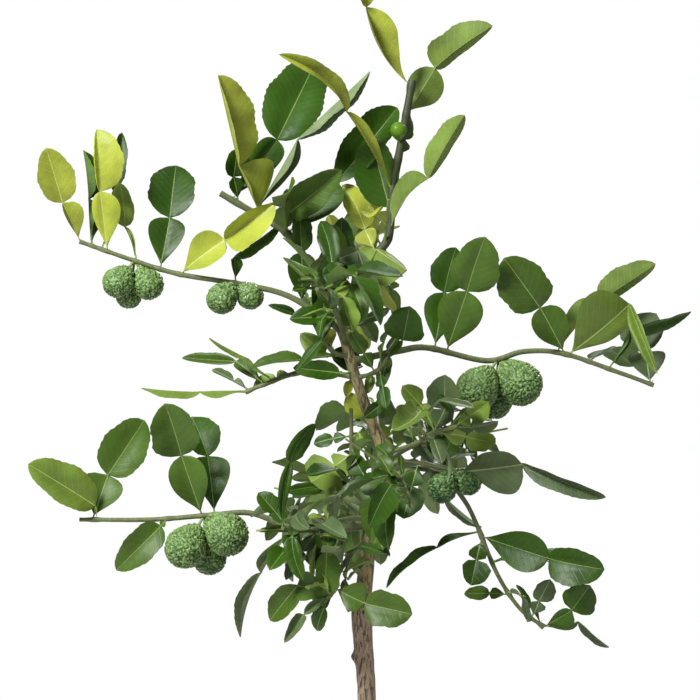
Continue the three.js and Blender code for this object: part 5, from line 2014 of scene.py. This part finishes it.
class LIME_OT_stage(bpy.types.Operator):
    """Lay the floor, and set the lights and the camera of the photograph's view"""

    bl_idname = "lime.set_stage"
    bl_label = "Set Stage"

    def execute(self, context):
        stage = context.scene.lime_stage
        mesh = bpy.data.meshes.new("floor")
        turns = [2 * math.pi * i / FLOOR_SIDES for i in range(FLOOR_SIDES)]
        radius = stage.floor_radius
        points = [(radius * math.cos(turn), radius * math.sin(turn), 0) for turn in turns]
        mesh.from_pydata(points, [], [list(range(FLOOR_SIDES))])
        dull = toned(stage.floor, 0.97)
        mesh.materials.append(crumb_material("floor_finish", dull, stage.floor, 3.0, 0.9))
        linked("floor", mesh)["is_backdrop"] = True
        context.scene.world = studio_world(0.4, 0.1)
        context.scene.view_settings.view_transform = "Standard"
        for name, spot, size, power in LAMPS:
            light = bpy.data.lights.new(name, "AREA")
            light.size = size
            light.energy = power
            lamp = linked(name, light)
            lamp.location = spot
            lamp.rotation_euler = (Vector(AIM) - Vector(spot)).to_track_quat("-Z", "Y").to_euler()
        eye = bpy.data.cameras.new("camera")
        eye.sensor_width = 36
        eye.lens = eye.sensor_width * stage.eye_distance / stage.frame_width
        camera = linked("camera", eye)
        camera.location = (EYE_ASIDE, -stage.eye_distance, stage.eye_height)
        camera.rotation_euler = (math.pi / 2, 0, 0)
        context.scene.camera = camera
        return {"FINISHED"}


class LIME_PT_tree(bpy.types.Panel):
    """The steps that make the tree, with their sizes and colours"""

    bl_idname = "LIME_PT_tree"
    bl_label = "Potted Makrut Lime"
    bl_space_type = "VIEW_3D"
    bl_region_type = "UI"
    bl_category = "Lime Tree"

    def draw(self, context):
        for step in STEPS:
            self.layout.operator(step.bl_idname)
        for setting in SETTINGS:
            box = self.layout.box()
            group = getattr(context.scene, setting)
            for name in group.bl_rna.properties.keys():
                if name not in {"rna_type", "name"}:
                    box.prop(group, name)


SETTINGS = {
    "lime_leaves": LimeLeafSettings, "lime_wood": LimeWoodSettings, "lime_fruit": LimeFruitSettings,
    "lime_pot": LimePotSettings, "lime_stage": LimeStageSettings,
}
STEPS = [
    LIME_OT_stage, LIME_OT_pot, LIME_OT_soil, LIME_OT_trunk, LIME_OT_boughs, LIME_OT_twigs,
    LIME_OT_leaves, LIME_OT_buds, LIME_OT_fruit,
]


def register():
    for group in SETTINGS.values():
        bpy.utils.register_class(group)
    for name, group in SETTINGS.items():
        setattr(bpy.types.Scene, name, bpy.props.PointerProperty(type=group))
    for step in [*STEPS, LIME_PT_tree]:
        bpy.utils.register_class(step)


def unregister():
    for step in reversed([*STEPS, LIME_PT_tree]):
        bpy.utils.unregister_class(step)
    for name, group in SETTINGS.items():
        delattr(bpy.types.Scene, name)
        bpy.utils.unregister_class(group)


def main():
    register()
    bpy.ops.lime.set_stage()
    bpy.ops.lime.make_pot()
    bpy.ops.lime.fill_soil()
    bpy.ops.lime.grow_trunk()
    bpy.ops.lime.grow_boughs()
    bpy.ops.lime.grow_twigs()
    bpy.ops.lime.grow_leaves()
    bpy.ops.lime.set_buds()
    bpy.ops.lime.hang_fruit()
    visual_box = [list(corner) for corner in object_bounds()]


if __name__ == "__main__":
    main()
